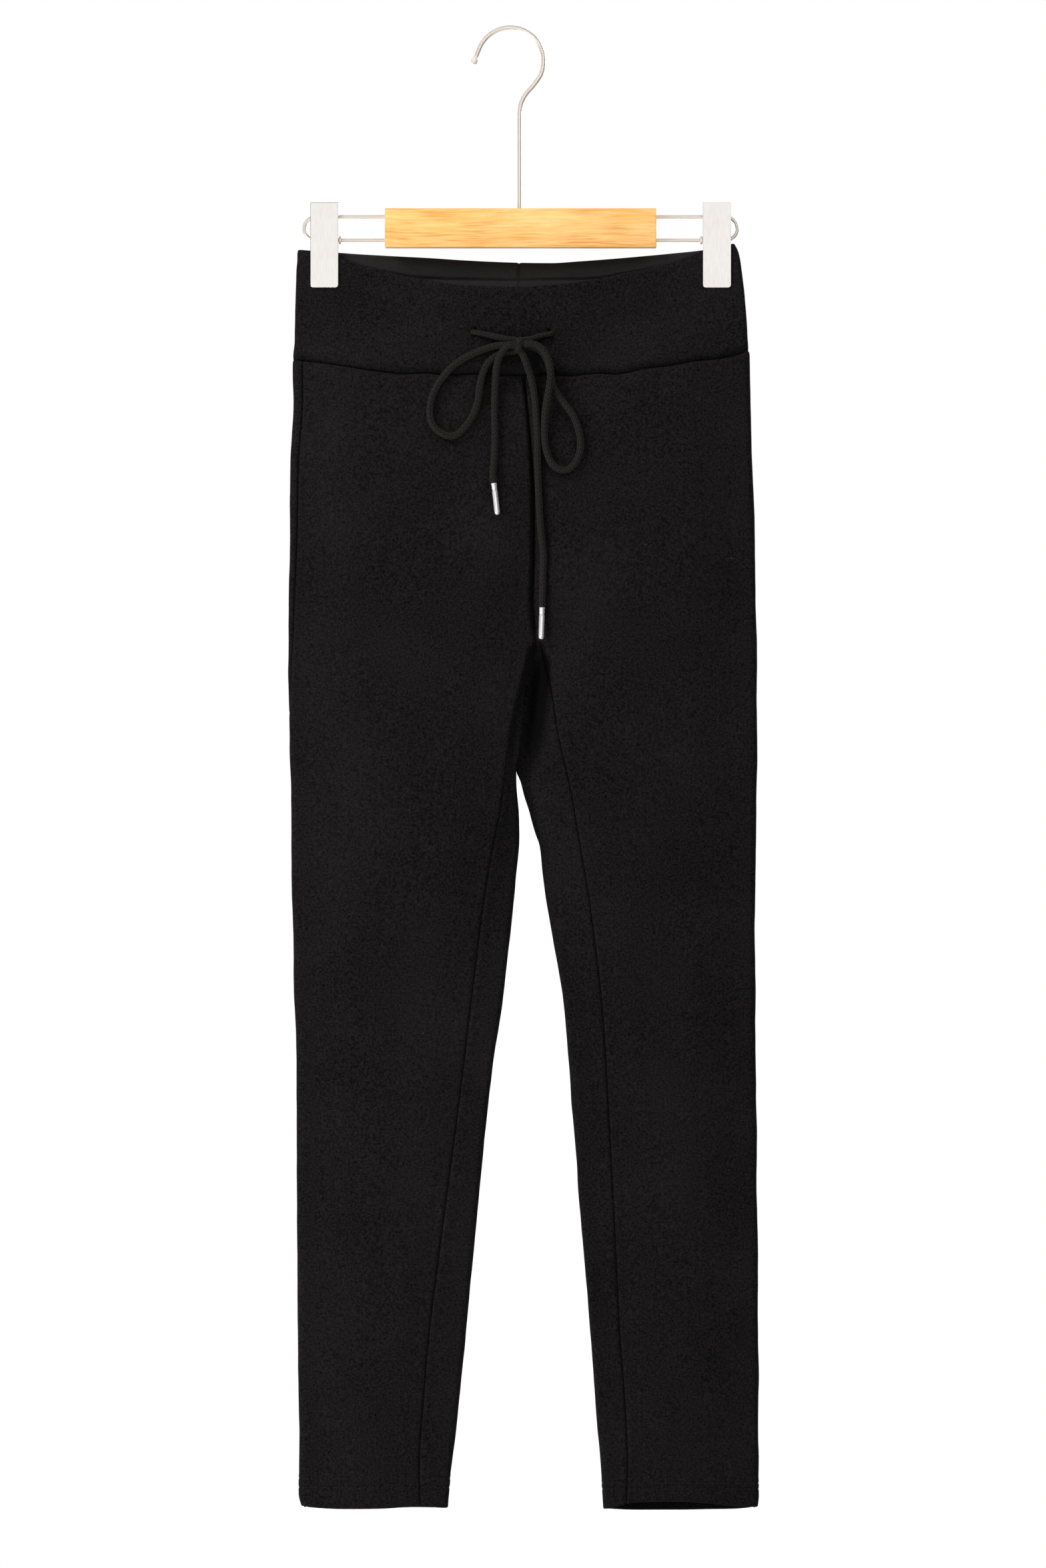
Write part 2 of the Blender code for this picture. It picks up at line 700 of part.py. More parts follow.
def make_hook(parts, steel, rubber):
    """The round hook, whose wire swings back under its own top to a stem that stands in the block."""
    radius = HOOK.inside + HOOK.wire / 2
    centre_z = -HOOK.inside
    start = math.radians(HOOK.start)
    arc = [
        (radius * math.cos(a), 0, centre_z + radius * math.sin(a))
        for a in np.radians(np.linspace(HOOK.start, HOOK.end, 26))
    ]
    onward = Vector((-math.sin(start), 0, math.cos(start)))
    tip = Vector(arc[0]) + onward * HOOK.lead
    neck = [(x * MM, 0, z * MM) for x, z in ((17.2, -42), (12.2, -47.6), (8.7, -53.6), (7.2, -60), (7, -67))]
    stem = [(HOOK.stem_x, 0, z) for z in (-100 * MM, BLOCK.top, BLOCK.top - HOOK.seat)]
    route = smooth_route([tuple(tip), *arc, *neck], 4 * MM)
    tube("hook", route + stem, HOOK.wire, steel, parts, 2)
    begin = tip + onward * CLEARANCE
    cap = rod("hook_tip", begin, begin + onward * HOOK.cap_length, HOOK.cap, rubber, parts, 16)
    rounded = cap.modifiers.new("rounded", "BEVEL")
    rounded.width = 1 * MM
    rounded.segments = 2
    rounded.angle_limit = math.radians(40)


def make_rails(parts, steel):
    """One wire loop: two level rails joined by a half turn at each end."""
    radius = (RAIL.upper - RAIL.lower) / 2
    middle = (RAIL.upper + RAIL.lower) / 2
    points = []
    for centre_x, first in ((RAIL.right - radius, 90), (RAIL.left + radius, 270)):
        for a in np.linspace(math.radians(first), math.radians(first - 180), 9):
            points.append((centre_x + radius * math.cos(a), GARMENT_Y, middle + radius * math.sin(a)))
    tube("rail_frame", points, RAIL.wire, steel, parts, 2, closed=True)


def plate(name, left, right, low, high, y, thickness, corner, surface, collection):
    """A flat plate that faces -Y, with rounded lower corners."""
    outline = [(left, high), (right, high)]
    for centre_x, first in ((right - corner, 0), (left + corner, -90)):
        for a in np.linspace(math.radians(first), math.radians(first - 90), 5):
            outline.append((centre_x + corner * math.cos(a), low + corner + corner * math.sin(a)))
    curve = bpy.data.curves.new(name, "CURVE")
    curve.dimensions = "2D"
    curve.fill_mode = "BOTH"
    curve.extrude = thickness / 2
    spline = curve.splines.new("POLY")
    spline.points.add(len(outline) - 1)
    for slot, (x, z) in zip(spline.points, outline):
        slot.co = (x, z, 0, 1)
    spline.use_cyclic_u = True
    drawn = bpy.data.objects.new(name, curve)
    collection.objects.link(drawn)
    drawn.matrix_world = Matrix.Translation((0, y, 0)) @ Matrix.Rotation(math.pi / 2, 4, "X")
    bpy.context.view_layer.update()
    return mesh_from_curve(drawn, surface, collection)


def mesh_from_curve(drawn, surface, collection):
    """Turn a curve object into a welded mesh object in the same place, and remove the curve."""
    graph = bpy.context.evaluated_depsgraph_get()
    mesh = bpy.data.meshes.new_from_object(drawn.evaluated_get(graph))
    mesh_in = bmesh.new()
    mesh_in.from_mesh(mesh)
    bmesh.ops.remove_doubles(mesh_in, verts=mesh_in.verts, dist=0.01 * MM)
    bmesh.ops.recalc_face_normals(mesh_in, faces=mesh_in.faces)
    mesh_in.to_mesh(mesh)
    mesh_in.free()
    name, place = drawn.name, drawn.matrix_world.copy()
    bpy.data.objects.remove(drawn, do_unlink=True)
    thing = bpy.data.objects.new(name, mesh)
    thing.matrix_world = place
    return finish_object(thing, surface, collection)


def make_clip(side, parts, cutters, steel, plain):
    """One clip: two pressed jaws that hang on the rails and hold the corner of the waistband between them."""
    label = "left" if side == LEFT else "right"
    left = CLIP.left if side == LEFT else CLIP.right
    right = left + CLIP.width
    outer_end, inner_end = (left, right) if side == LEFT else (right, left)
    grip = PINCHED_RADIUS + CLEARANCE
    lap = 0.3 * MM
    for face in (FRONT, BACK):
        name = f"clip_{face_name(face)}_{label}"
        inset = 0.0 if face == FRONT else CLIP.sheet + CLEARANCE
        low_x, high_x = left + inset, right - inset
        outer_y = GARMENT_Y - face * (grip + CLIP.sheet)
        inner_y = GARMENT_Y - face * grip
        jaw = plate(
            name, low_x, high_x, CLIP.bottom, CLIP.top - inset, (outer_y + inner_y) / 2, CLIP.sheet,
            CLIP.corner, steel, parts,
        )
        edge_y = GARMENT_Y + face * (grip - CLEARANCE)
        near_y = outer_y + face * lap
        shell = box(
            f"{name} flanges", (low_x, min(near_y, edge_y), CLIP.flange_bottom),
            (high_x, max(near_y, edge_y), CLIP.top - inset), plain, cutters,
        )
        hollow = box(
            f"{name} hollow",
            (low_x + CLIP.sheet, min(inner_y, edge_y + face * lap), CLIP.flange_bottom - lap),
            (high_x - CLIP.sheet, max(inner_y, edge_y + face * lap), CLIP.top - inset - CLIP.sheet),
            plain, cutters,
        )
        boolean(shell, make_cutter(hollow), "DIFFERENCE")
        boolean(jaw, make_cutter(shell), "UNION")
        room = RAIL.wire / 2 + CLEARANCE
        middle = (left + right) / 2
        for rail, z in (("upper", RAIL.upper), ("lower", RAIL.lower)):
            hole = rod(
                f"{name} {rail} hole", (middle, GARMENT_Y, z), (inner_end - side * lap, GARMENT_Y, z),
                room, plain, cutters,
            )
            boolean(jaw, make_cutter(hole), "DIFFERENCE")
        bend = box(
            f"{name} bend slot", (min(outer_end, middle) - lap, GARMENT_Y - room, RAIL.lower - room),
            (max(outer_end, middle) + lap, GARMENT_Y + room, RAIL.upper + room), plain, cutters,
        )
        boolean(jaw, make_cutter(bend), "DIFFERENCE")
    near = inner_end - side * CLEARANCE
    far = near - side * COLLAR.width
    collar = rod(
        f"collar_{label}", (near, GARMENT_Y, RAIL.lower), (far, GARMENT_Y, RAIL.lower), COLLAR.radius,
        steel, parts,
    )
    bore = rod(
        f"collar {label} bore", (near + side * lap, GARMENT_Y, RAIL.lower),
        (far - side * lap, GARMENT_Y, RAIL.lower), RAIL.wire / 2 + CLEARANCE, plain, cutters,
    )
    boolean(collar, make_cutter(bore), "DIFFERENCE")


def make_cloth(parts, cutters, cloth, plain):
    """The waistband and the four leg panels."""
    band = cloth_wall("waistband", band_skins(), cloth, parts)
    for side, label in ((LEFT, "left"), (RIGHT, "right")):
        cloth_wall(f"leg_front_{label}", leg_skins(side, front_stations), cloth, parts)
        cloth_wall(f"leg_back_{label}", leg_skins(side, back_stations), cloth, parts)
        cut_buttonhole(band, label, cutters, plain)


def cut_buttonhole(band, label, cutters, plain):
    """Sink an upright buttonhole into the front of the waistband where a drawstring end comes out."""
    x, _, z = (value * MM for value in ROUTES[f"drawstring_end_{label}"][0])
    x += math.copysign(BUTTONHOLE.aside, KNOT.x - x)
    cutter = rod(
        f"buttonhole {label}", (x, BUTTONHOLE.floor, z), (x, BUTTONHOLE.front, z), 0.5, plain, cutters,
    )
    cutter.data.transform(Matrix.Diagonal((BUTTONHOLE.width, BUTTONHOLE.height, 1, 1)))
    boolean(band, make_cutter(cutter), "DIFFERENCE")


def make_drawstring(parts, braid, tip):
    """The drawstring's six stretches, its knot and its two metal tips."""
    for name, route in ROUTES.items():
        points = [Vector(p) * MM for p in route]
        tube(name, smooth_route(points, CORD_SPACING[name.split("_")[1]]), CORD, braid, parts, 2)
        if "tail" in name:
            onward = (points[-1] - points[-2]).normalized()
            begin = points[-1] + onward * CORD_GAP
            label = name.rsplit("_", 1)[1]
            aglet = rod(f"aglet_{label}", begin, begin + onward * AGLET.length, AGLET.radius, tip, parts, 12)
            rounded = aglet.modifiers.new("rounded", "BEVEL")
            rounded.width = 0.7 * MM
            rounded.segments = 1
            rounded.angle_limit = math.radians(40)
    make_knot(parts, braid)


def make_knot(parts, braid):
    """The bow's knot, a rounded barrel across the garment between the ends of the stretches."""
    half = KNOT.width / 2
    knot = rod(
        "drawstring_knot", (KNOT.x - half, KNOT.y, KNOT.z), (KNOT.x + half, KNOT.y, KNOT.z), 0.5,
        braid, parts,
    )
    knot.data.transform(Matrix.Diagonal((KNOT.depth, KNOT.height, 1, 1)))
    rounded = knot.modifiers.new("rounded", "BEVEL")
    rounded.width = 1 * MM
    rounded.segments = 2
    rounded.angle_limit = math.radians(40)


def main():
    parts, cutters = start_scene("leggings_on_clip_hanger")
    cloth = material("black_knit", (0.012, 0.011, 0.012), 0.92)
    braid = material("charcoal_braid", (0.022, 0.02, 0.019), 0.85)
    wood = material("golden_wood", (0.72, 0.42, 0.16), 0.45)
    steel = material("satin_nickel", (0.78, 0.75, 0.71), 0.3, 1.0)
    silver = material("polished_silver", (0.85, 0.83, 0.8), 0.12, 1.0)
    rubber = material("clear_rubber", (0.7, 0.66, 0.6), 0.5)
    plain = material("cutter", (0.5, 0.5, 0.5), 0.8)
    make_cloth(parts, cutters, cloth, plain)
    make_drawstring(parts, braid, silver)
    make_block(parts, cutters, wood, plain)
    make_hook(parts, steel, rubber)
    make_rails(parts, steel)
    for side in (LEFT, RIGHT):
        make_clip(side, parts, cutters, steel, plain)


main()
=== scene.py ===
import math

import bmesh
import bpy
import numpy as np
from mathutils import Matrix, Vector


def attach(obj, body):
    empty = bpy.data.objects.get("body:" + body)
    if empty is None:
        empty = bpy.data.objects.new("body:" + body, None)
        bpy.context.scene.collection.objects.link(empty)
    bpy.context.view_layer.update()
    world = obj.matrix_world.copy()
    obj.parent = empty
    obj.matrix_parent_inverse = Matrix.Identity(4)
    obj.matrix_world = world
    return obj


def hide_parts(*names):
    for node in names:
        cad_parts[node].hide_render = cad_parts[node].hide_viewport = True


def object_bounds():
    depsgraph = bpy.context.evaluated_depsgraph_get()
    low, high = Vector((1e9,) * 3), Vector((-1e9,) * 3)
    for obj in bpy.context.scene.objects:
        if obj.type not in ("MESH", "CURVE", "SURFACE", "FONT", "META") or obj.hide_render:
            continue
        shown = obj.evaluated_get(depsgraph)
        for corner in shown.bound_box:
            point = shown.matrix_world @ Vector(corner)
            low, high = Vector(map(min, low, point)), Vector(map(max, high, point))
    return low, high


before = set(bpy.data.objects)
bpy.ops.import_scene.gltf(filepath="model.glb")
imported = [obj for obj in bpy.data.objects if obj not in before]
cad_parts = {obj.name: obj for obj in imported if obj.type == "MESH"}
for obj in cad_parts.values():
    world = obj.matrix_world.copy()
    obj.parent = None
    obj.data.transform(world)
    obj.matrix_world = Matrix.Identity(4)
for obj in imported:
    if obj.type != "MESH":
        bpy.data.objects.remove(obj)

# Lengths are millimetres up to the meshes, left and right are the viewer's, and the front faces -Y
mm = 0.001
left, right = -1, 1
cadLow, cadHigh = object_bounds()


cameraView = {
    "centreX": 9.5,  # middle of the picture
    "centreZ": -565.7,
    "pictureHeight": 1175,  # on the plane of the cloth
    "planeY": -5,
    "distance": 7200,
    "sensor": 36,
    "farthest": 50,  # metres
}


def addCamera():
    camera = bpy.data.cameras.new("camera")
    camera.sensor_width = cameraView["sensor"]
    camera.lens = cameraView["sensor"] * cameraView["distance"] / cameraView["pictureHeight"]
    camera.clip_end = cameraView["farthest"]
    cameraObject = bpy.data.objects.new("camera", camera)
    cameraObject.location = (
        cameraView["centreX"] * mm,
        (cameraView["planeY"] - cameraView["distance"]) * mm,
        cameraView["centreZ"] * mm,
    )
    cameraObject.rotation_euler = (math.pi / 2, 0, 0)
    bpy.context.scene.collection.objects.link(cameraObject)
    bpy.context.scene.camera = cameraObject
    print("camera placed")


def ease(t):
    t = np.clip(t, 0, 1)
    return t * t * (3 - 2 * t)


def mix(a, b, t):
    return a + (b - a) * t


def hump(off, width):
    return np.exp(-((off / width) ** 2))


def ridge(off, height, place, width):
    # a rounded ridge at this place
    return height * hump(off - place, width)


def nameColumns(names, *rows):
    return dict(zip(names.split(), np.array(rows, float).T))


def readCurve(rows, column, where):
    # smooth curve through the values of one column, with no overshoot between them
    first = next(iter(rows))
    order = np.argsort(rows[first])
    x, y = rows[first][order], rows[column][order]
    where = np.clip(np.asarray(where, float), x[0], x[-1])
    step = np.diff(x)
    slope = np.diff(y) / step
    tangent = np.zeros(len(y))
    before, after = slope[:-1], slope[1:]
    same = before * after > 0
    tangent[1:-1][same] = 2 * before[same] * after[same] / (before[same] + after[same])
    tangent[0], tangent[-1] = slope[0], slope[-1]
    i = np.clip(np.searchsorted(x, where) - 1, 0, len(x) - 2)
    t = (where - x[i]) / step[i]
    start = (2 * t**3 - 3 * t**2 + 1) * y[i] + (t**3 - 2 * t**2 + t) * step[i] * tangent[i]
    end = (3 * t**2 - 2 * t**3) * y[i + 1] + (t**3 - t**2) * step[i] * tangent[i + 1]
    return start + end


curveSteps = 24  # from one given point to the next, before a line is spaced evenly


def smoothLine(points, spacing):
    # evenly spaced points along a smooth curve through the given ones
    given = np.array(points, float)
    ends = np.vstack((2 * given[0] - given[1], given, 2 * given[-1] - given[-2]))
    t = np.linspace(0, 1, curveSteps, endpoint=False)[:, None]
    fine = []
    for a, b, c, d in zip(ends, ends[1:], ends[2:], ends[3:]):
        bend, twist = a - 2.5 * b + 2 * c - d / 2, (3 * b - a - 3 * c + d) / 2
        fine.append(b + (c - a) / 2 * t + bend * t**2 + twist * t**3)
    fine = np.vstack(fine + [given[-1:]])
    return respaced(fine, spacing)


def respaced(line, spacing):
    lengths = lengthsAlong(line)
    count = max(2, round(lengths[-1] / spacing))
    wanted = np.linspace(0, lengths[-1], count + 1)
    return np.column_stack([np.interp(wanted, lengths, line[:, axis]) for axis in range(3)])


def lengthsAlong(line):
    return np.concatenate(([0], np.cumsum(np.linalg.norm(np.diff(line, axis=0), axis=1))))


wavesMixed, wavesEven = 7, 4
fullTurn = 6.28  # radians, near enough for soft waves


def waves(x, z, size, seed):
    # soft unevenness from about -1 to 1 with humps of about this size
    chance = np.random.default_rng(seed)
    lowest, highest = (0, 0, 0.7), (math.pi, 6.3, 1.5)  # direction, phase and stretch of a wave
    total = 0
    for turn, phase, stretch in zip(*chance.uniform(lowest, highest, (wavesMixed, 3)).T):
        onward = x * math.cos(turn) + z * math.sin(turn)
        total = total + np.sin(onward * fullTurn / (size * stretch) + phase)
    return total / wavesEven


def unevenAlong(where, size, seed):
    return waves(where, where * 0, size, seed)


def puckers(where, length, stray, size, seed):
    # ripples of this length, whose spacing strays unevenly
    return np.sin(where / length * fullTurn + stray * unevenAlong(where, size, seed))


def unit(vectors):
    return vectors / np.maximum(np.linalg.norm(vectors, axis=-1, keepdims=True), 1e-9)


def addMesh(name, points, faces, surface):
    mesh = bpy.data.meshes.new(name)
    mesh.from_pydata((np.asarray(points, float) * mm).tolist(), [], faces)
    mesh.validate()
    mesh.shade_smooth()
    mesh.materials.append(surface)
    return addPiece(bpy.data.objects.new(name, mesh))


def addPiece(piece):
    bpy.context.scene.collection.objects.link(piece)
    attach(piece, "root")
    return piece


def gridFaces(rows, columns, closedRows=False, closedColumns=False, offset=0):
    r = np.arange(rows if closedRows else rows - 1)[:, None]
    c = np.arange(columns if closedColumns else columns - 1)[None, :]
    below, beside = (r + 1) % rows, (c + 1) % columns
    corners = np.stack(
        (r * columns + c, below * columns + c, below * columns + beside, r * columns + beside), axis=-1
    )
    return (corners.reshape(-1, 4) + offset).tolist()


def tubeGrid(line, radius, sides, closed=False, relief=None):
    # rings of points round a line; the rings turn as little as they can
    line = np.asarray(line, float)
    if closed:
        ahead = unit(np.roll(line, -1, axis=0) - np.roll(line, 1, axis=0))
    else:
        ahead = unit(np.gradient(line, axis=0))
    side = np.cross(ahead[0], (0, 1, 0))
    if np.linalg.norm(side) < 0.2:  # the line sets off nearly along Y
        side = np.cross(ahead[0], (1, 0, 0))
    sideways = []
    for direction in ahead:
        side = side - direction * side.dot(direction)
        side = side / np.linalg.norm(side)
        sideways.append(side)
    sideways = np.array(sideways)
    upward = np.cross(ahead, sideways)
    turns = np.tile(np.arange(sides) * 2 * math.pi / sides, (len(line), 1))
    if closed:  # share out the twist that is left when the line comes round
        slip = math.atan2(sideways[-1].dot(upward[0]), sideways[-1].dot(sideways[0]))
        turns -= (np.arange(len(line)) / len(line) * slip)[:, None]
    reach = np.broadcast_to(np.asarray(radius, float).reshape(-1, 1), (len(line), 1))
    if relief is not None:
        reach = reach + relief(turns, lengthsAlong(line)[:, None])
    return (
        line[:, None, :]
        + sideways[:, None, :] * (np.cos(turns) * reach)[..., None]
        + upward[:, None, :] * (np.sin(turns) * reach)[..., None]
    )


def addTube(name, line, radius, sides, surface, closed=False, relief=None):
    rings = tubeGrid(line, radius, sides, closed, relief)
    points = rings.reshape(-1, 3)
    faces = gridFaces(len(rings), sides, closed, True)
    if not closed:  # a shallow cap on each end
        points = np.vstack((points, rings[0].mean(axis=0), rings[-1].mean(axis=0)))
        last, count = (len(rings) - 1) * sides, len(rings) * sides
        for i in range(sides):
            faces.append([i, (i + 1) % sides, count])
            faces.append([last + (i + 1) % sides, last + i, count + 1])
    return addMesh(name, points, faces, surface)


threadSides = 6


def addThreads(name, stitches, surface):
    # short threads in one mesh, each a line of points and a radius for each of them
    points, faces = [], []
    for line, radius in stitches:
        rings = tubeGrid(line, radius, threadSides)
        faces += gridFaces(len(rings), threadSides, False, True, len(points))
        points += rings.reshape(-1, 3).tolist()
    return addMesh(name, points, faces, surface)


def storeShade(piece, name, values):
    # a value that the mesh carries at each of its points, for its material
    piece.data.attributes.new(name, "FLOAT", "POINT").data.foreach_set("value", values)


def newMaterial(name, colour, look):
    surface = bpy.data.materials.new(name)
    surface.use_nodes = True
    nodes = surface.node_tree
    shader = nodes.nodes["Principled BSDF"]
    shader.inputs["Base Color"].default_value = (*colour, 1)
    for socket, value in look["shader"].items():
        shader.inputs[socket].default_value = value
    return surface, nodes, shader


def addNode(nodes, kind, values=(), links=()):
    node = nodes.nodes.new(kind)
    for key, value in dict(values).items():
        if key in node.inputs:
            node.inputs[key].default_value = value
        else:
            setattr(node, key, value)
    for key, source in dict(links).items():
        nodes.links.new(source, node.inputs[key])
    return node


def calculate(nodes, operation, a, b=0.0, c=0.0):
    node = nodes.nodes.new("ShaderNodeMath")
    node.operation = operation
    for socket, value in zip(node.inputs, (a, b, c)):
        if isinstance(value, (int, float)):
            socket.default_value = value
        else:
            nodes.links.new(value, socket)
    return node.outputs[0]


def plus(nodes, a, b):
    return calculate(nodes, "ADD", a, b)


def minus(nodes, a, b):
    return calculate(nodes, "SUBTRACT", a, b)


def times(nodes, a, b):
    return calculate(nodes, "MULTIPLY", a, b)


def timesPlus(nodes, a, b, c):
    return calculate(nodes, "MULTIPLY_ADD", a, b, c)


def readShade(nodes, name):
    return addNode(nodes, "ShaderNodeAttribute", {"attribute_name": name}).outputs["Fac"]


def places(nodes, stretch=(1, 1, 1), where=None):
    where = where or addNode(nodes, "ShaderNodeTexCoord").outputs["Object"]
    return addNode(nodes, "ShaderNodeMapping", {"Scale": stretch}, {"Vector": where}).outputs[0]


def noise(nodes, size, detail=2.0, rough=0.5, stretch=(1, 1, 1), where=None):
    # mottling with spots of about this many millimetres
    return addNode(
        nodes, "ShaderNodeTexNoise", {"Scale": 1000 / size, "Detail": detail, "Roughness": rough},
        {"Vector": places(nodes, stretch, where)},
    ).outputs["Fac"]


def blendColours(nodes, amount, first, second):
    node = addNode(nodes, "ShaderNodeMix", {"data_type": "RGBA"})
    for socket, value in ((node.inputs[6], first), (node.inputs[7], second)):
        if isinstance(value, tuple):
            socket.default_value = (*value, 1)
        else:
            nodes.links.new(value, socket)
    if isinstance(amount, (int, float)):
        node.inputs[0].default_value = amount
    else:
        nodes.links.new(amount, node.inputs[0])
    return node.outputs[2]


def mapRange(nodes, value, low, high, toLow=0.0, toHigh=1.0):
    return addNode(
        nodes, "ShaderNodeMapRange",
        {"From Min": low, "From Max": high, "To Min": toLow, "To Max": toHigh}, {"Value": value},
    ).outputs[0]


def addBump(nodes, shader, height, distance, strength):
    bump = addNode(
        nodes, "ShaderNodeBump", {"Distance": distance * mm, "Strength": strength}, {"Height": height}
    )
    nodes.links.new(bump.outputs[0], shader.inputs["Normal"])


noiseSpan = (0.3, 0.7)  # nearly all of a noise lies between these


def finishSurface(nodes, shader, colour, uneven=None, roughness=(0, 1)):
    # the colour, and a roughness that wanders between two values
    nodes.links.new(colour, shader.inputs["Base Color"])
    if uneven is not None:
        nodes.links.new(mapRange(nodes, uneven, *noiseSpan, *roughness), shader.inputs["Roughness"])


# In the looks, a noise is its size, detail, roughness and stretch, a relief is its depth and strength,
# a range is the noise from and to, then the share from and to where that isn't 0 to 1, and roughRange
# is the lowest and the highest roughness
knitLook = {
    "dark": (0.0005, 0.0005, 0.0005),
    "light": (0.0194, 0.0172, 0.0182),
    "lint": (0.05, 0.05, 0.05),
    "inside": (0.034, 0.031, 0.032),  # painted light, paler, on the inside of the waistband's back
    "paintedLightShare": 0.52,
    "waleWidth": 1.05,
    "courseHeight": 0.85,
    "wander": 0.9,  # how far wales and courses stray
    "wanderNoise": (9,),
    "slant": 1.4,  # of the loops on both sides of a wale
    "waleCurve": 3.0,
    "loopHeight": 0.3,  # beside the height of a wale
    "knitHeight": 0.45,  # beside the height of the brushed pile
    "fuzz": (0.55, 3, 0.7),
    "tufts": (1.5, 3, 0.65),
    "patches": (90, 2),
    "fuzzTone": 0.3,
    "tuftTone": 0.5,
    "patchTone": 0.1,
    "knitHollowShade": 0.04,
    "toneRange": (0.36, 0.64),
    "relief": (0.28, 0.55),
    "lintApart": 13.0,
    "lintStretch": (1, 1, 0.6),
    "lintBare": 0.72,  # share of the places that have no speck
    "lintEdge": (0.03, 0.018),  # where a speck fades, as a share of the distance between them
    "roughRange": (0.88, 1.0),
    "shader": {
        "Roughness": 0.95, "Specular IOR Level": 0.03, "Sheen Weight": 0.01, "Sheen Roughness": 0.55,
    },
}


def makeKnit():
    look = knitLook
    surface, nodes, shader = newMaterial("blackKnit", look["dark"], look)
    place = addNode(nodes, "ShaderNodeSeparateXYZ", links={"Vector": places(nodes)}).outputs
    wander = times(nodes, noise(nodes, *look["wanderNoise"]), look["wander"] * mm)
    acrossWale = calculate(nodes, "DIVIDE", plus(nodes, place["X"], wander), look["waleWidth"] * mm)
    fromMiddle = calculate(nodes, "ABSOLUTE", minus(nodes, calculate(nodes, "FRACT", acrossWale), 0.5))
    course = calculate(nodes, "DIVIDE", plus(nodes, place["Z"], wander), look["courseHeight"] * mm)
    slanted = timesPlus(nodes, fromMiddle, look["slant"], course)
    loops = calculate(nodes, "SINE", times(nodes, slanted, 2 * math.pi))
    hollows = calculate(nodes, "POWER", times(nodes, fromMiddle, 2.0), look["waleCurve"])
    knit = timesPlus(nodes, loops, look["loopHeight"], minus(nodes, 1.0, hollows))
    fuzz, tufts, patches = (noise(nodes, *look[name]) for name in ("fuzz", "tufts", "patches"))
    height = plus(nodes, times(nodes, knit, look["knitHeight"]), plus(nodes, fuzz, tufts))
    addBump(nodes, shader, height, *look["relief"])
    mottle = plus(nodes, times(nodes, fuzz, look["fuzzTone"]), times(nodes, tufts, look["tuftTone"]))
    mottle = plus(nodes, mottle, times(nodes, patches, look["patchTone"]))
    # painted shade: the knit's colour is darker in the hollows between its wales and loops
    mottle = timesPlus(nodes, knit, look["knitHollowShade"], mottle)
    colour = blendColours(nodes, mapRange(nodes, mottle, *look["toneRange"]), look["dark"], look["light"])
    # painted light: the inside of the waistband's back is blended towards a paler colour
    inside = times(nodes, readShade(nodes, "paintedLightInside"), look["paintedLightShare"])
    colour = blendColours(nodes, inside, colour, look["inside"])
    # painted shade: the knit goes towards black where the mesh's paintedShade value is high, below the crotch
    # and inside the hems
    colour = blendColours(nodes, readShade(nodes, "paintedShade"), colour, look["dark"])
    specks = addNode(
        nodes, "ShaderNodeTexVoronoi", {"Scale": 1000 / look["lintApart"]},
        {"Vector": places(nodes, look["lintStretch"])},
    )
    picked = addNode(nodes, "ShaderNodeSeparateColor", links={"Color": specks.outputs["Color"]}).outputs[0]
    few = calculate(nodes, "GREATER_THAN", picked, look["lintBare"])
    lint = times(nodes, mapRange(nodes, specks.outputs["Distance"], *look["lintEdge"]), few)
    colour = blendColours(nodes, lint, colour, look["lint"])
    finishSurface(nodes, shader, colour, fuzz, look["roughRange"])
    return surface


threadLook = {
    "dark": (0.003, 0.003, 0.003),
    "light": (0.015, 0.0145, 0.015),
    "twist": (0.25, 2, 0.6, (1, 1, 3)),
    "relief": (0.06, 0.6),
    "shader": {"Roughness": 0.7, "Specular IOR Level": 0.3},
}


def makeThread():
    surface, nodes, shader = newMaterial("blackThread", threadLook["dark"], threadLook)
    twist = noise(nodes, *threadLook["twist"])
    finishSurface(nodes, shader, blendColours(nodes, twist, threadLook["dark"], threadLook["light"]))
    addBump(nodes, shader, twist, *threadLook["relief"])
    return surface


braidLook = {
    "dark": (0.0008, 0.0007, 0.0006),
    "light": (0.0198, 0.0170, 0.0150),
    "fibres": (0.3, 3, 0.7),
    "fibreTone": 0.5,
    "grooveShade": 0.75,
    "toneRange": (0.38, 1.0),
    "relief": (0.12, 0.7),
    "roughRange": (0.7, 0.92),
    "shader": {"Roughness": 0.85, "Specular IOR Level": 0.2, "Sheen Weight": 0.03},
}


def makeBraid():
    look = braidLook
    surface, nodes, shader = newMaterial("charcoalBraid", look["light"], look)
    fibres = noise(nodes, *look["fibres"])
    # painted shade and light: the braid is darker in the grooves between its plaits and lighter on their tops
    raised = times(nodes, readShade(nodes, "raised"), look["grooveShade"])
    tone = mapRange(nodes, timesPlus(nodes, fibres, look["fibreTone"], raised), *look["toneRange"])
    colour = blendColours(nodes, tone, look["dark"], look["light"])
    finishSurface(nodes, shader, colour, fibres, look["roughRange"])
    addBump(nodes, shader, fibres, *look["relief"])
    return surface


woodLook = {
    "pale": (0.94, 0.58, 0.225),
    "warm": (0.83, 0.38, 0.085),
    "lines": (0.64, 0.25, 0.05),
    "sway": 7,  # how far the grain wanders up and down
    "swayNoise": (100, 2),
    "growth": (22, 4, 0.6, (0.3, 1, 1.6)),
    "grain": (2.3, 3, 0.6, (0.06, 1, 1)),
    "streaks": (1.2, 2, 0.5, (0.035, 1, 1)),
    "flecks": (0.9, 2, 0.5, (0.2, 1, 1)),
    "growthTone": 0.5,
    "grainTone": 0.6,
    "toneRange": (0.42, 0.72),
    "streakRange": (0.5, 0.64, 0, 0.65),
    "streakedRange": (0.32, 0.55),  # of the growth where streaks show
    "fleckRange": (0.62, 0.80, 0, 0.3),
    "relief": (0.08, 0.35),
    "roughRange": (0.36, 0.52),
    "shader": {
        "Roughness": 0.46, "Specular IOR Level": 0.35, "Coat Weight": 0.15, "Coat Roughness": 0.25,
    },
}


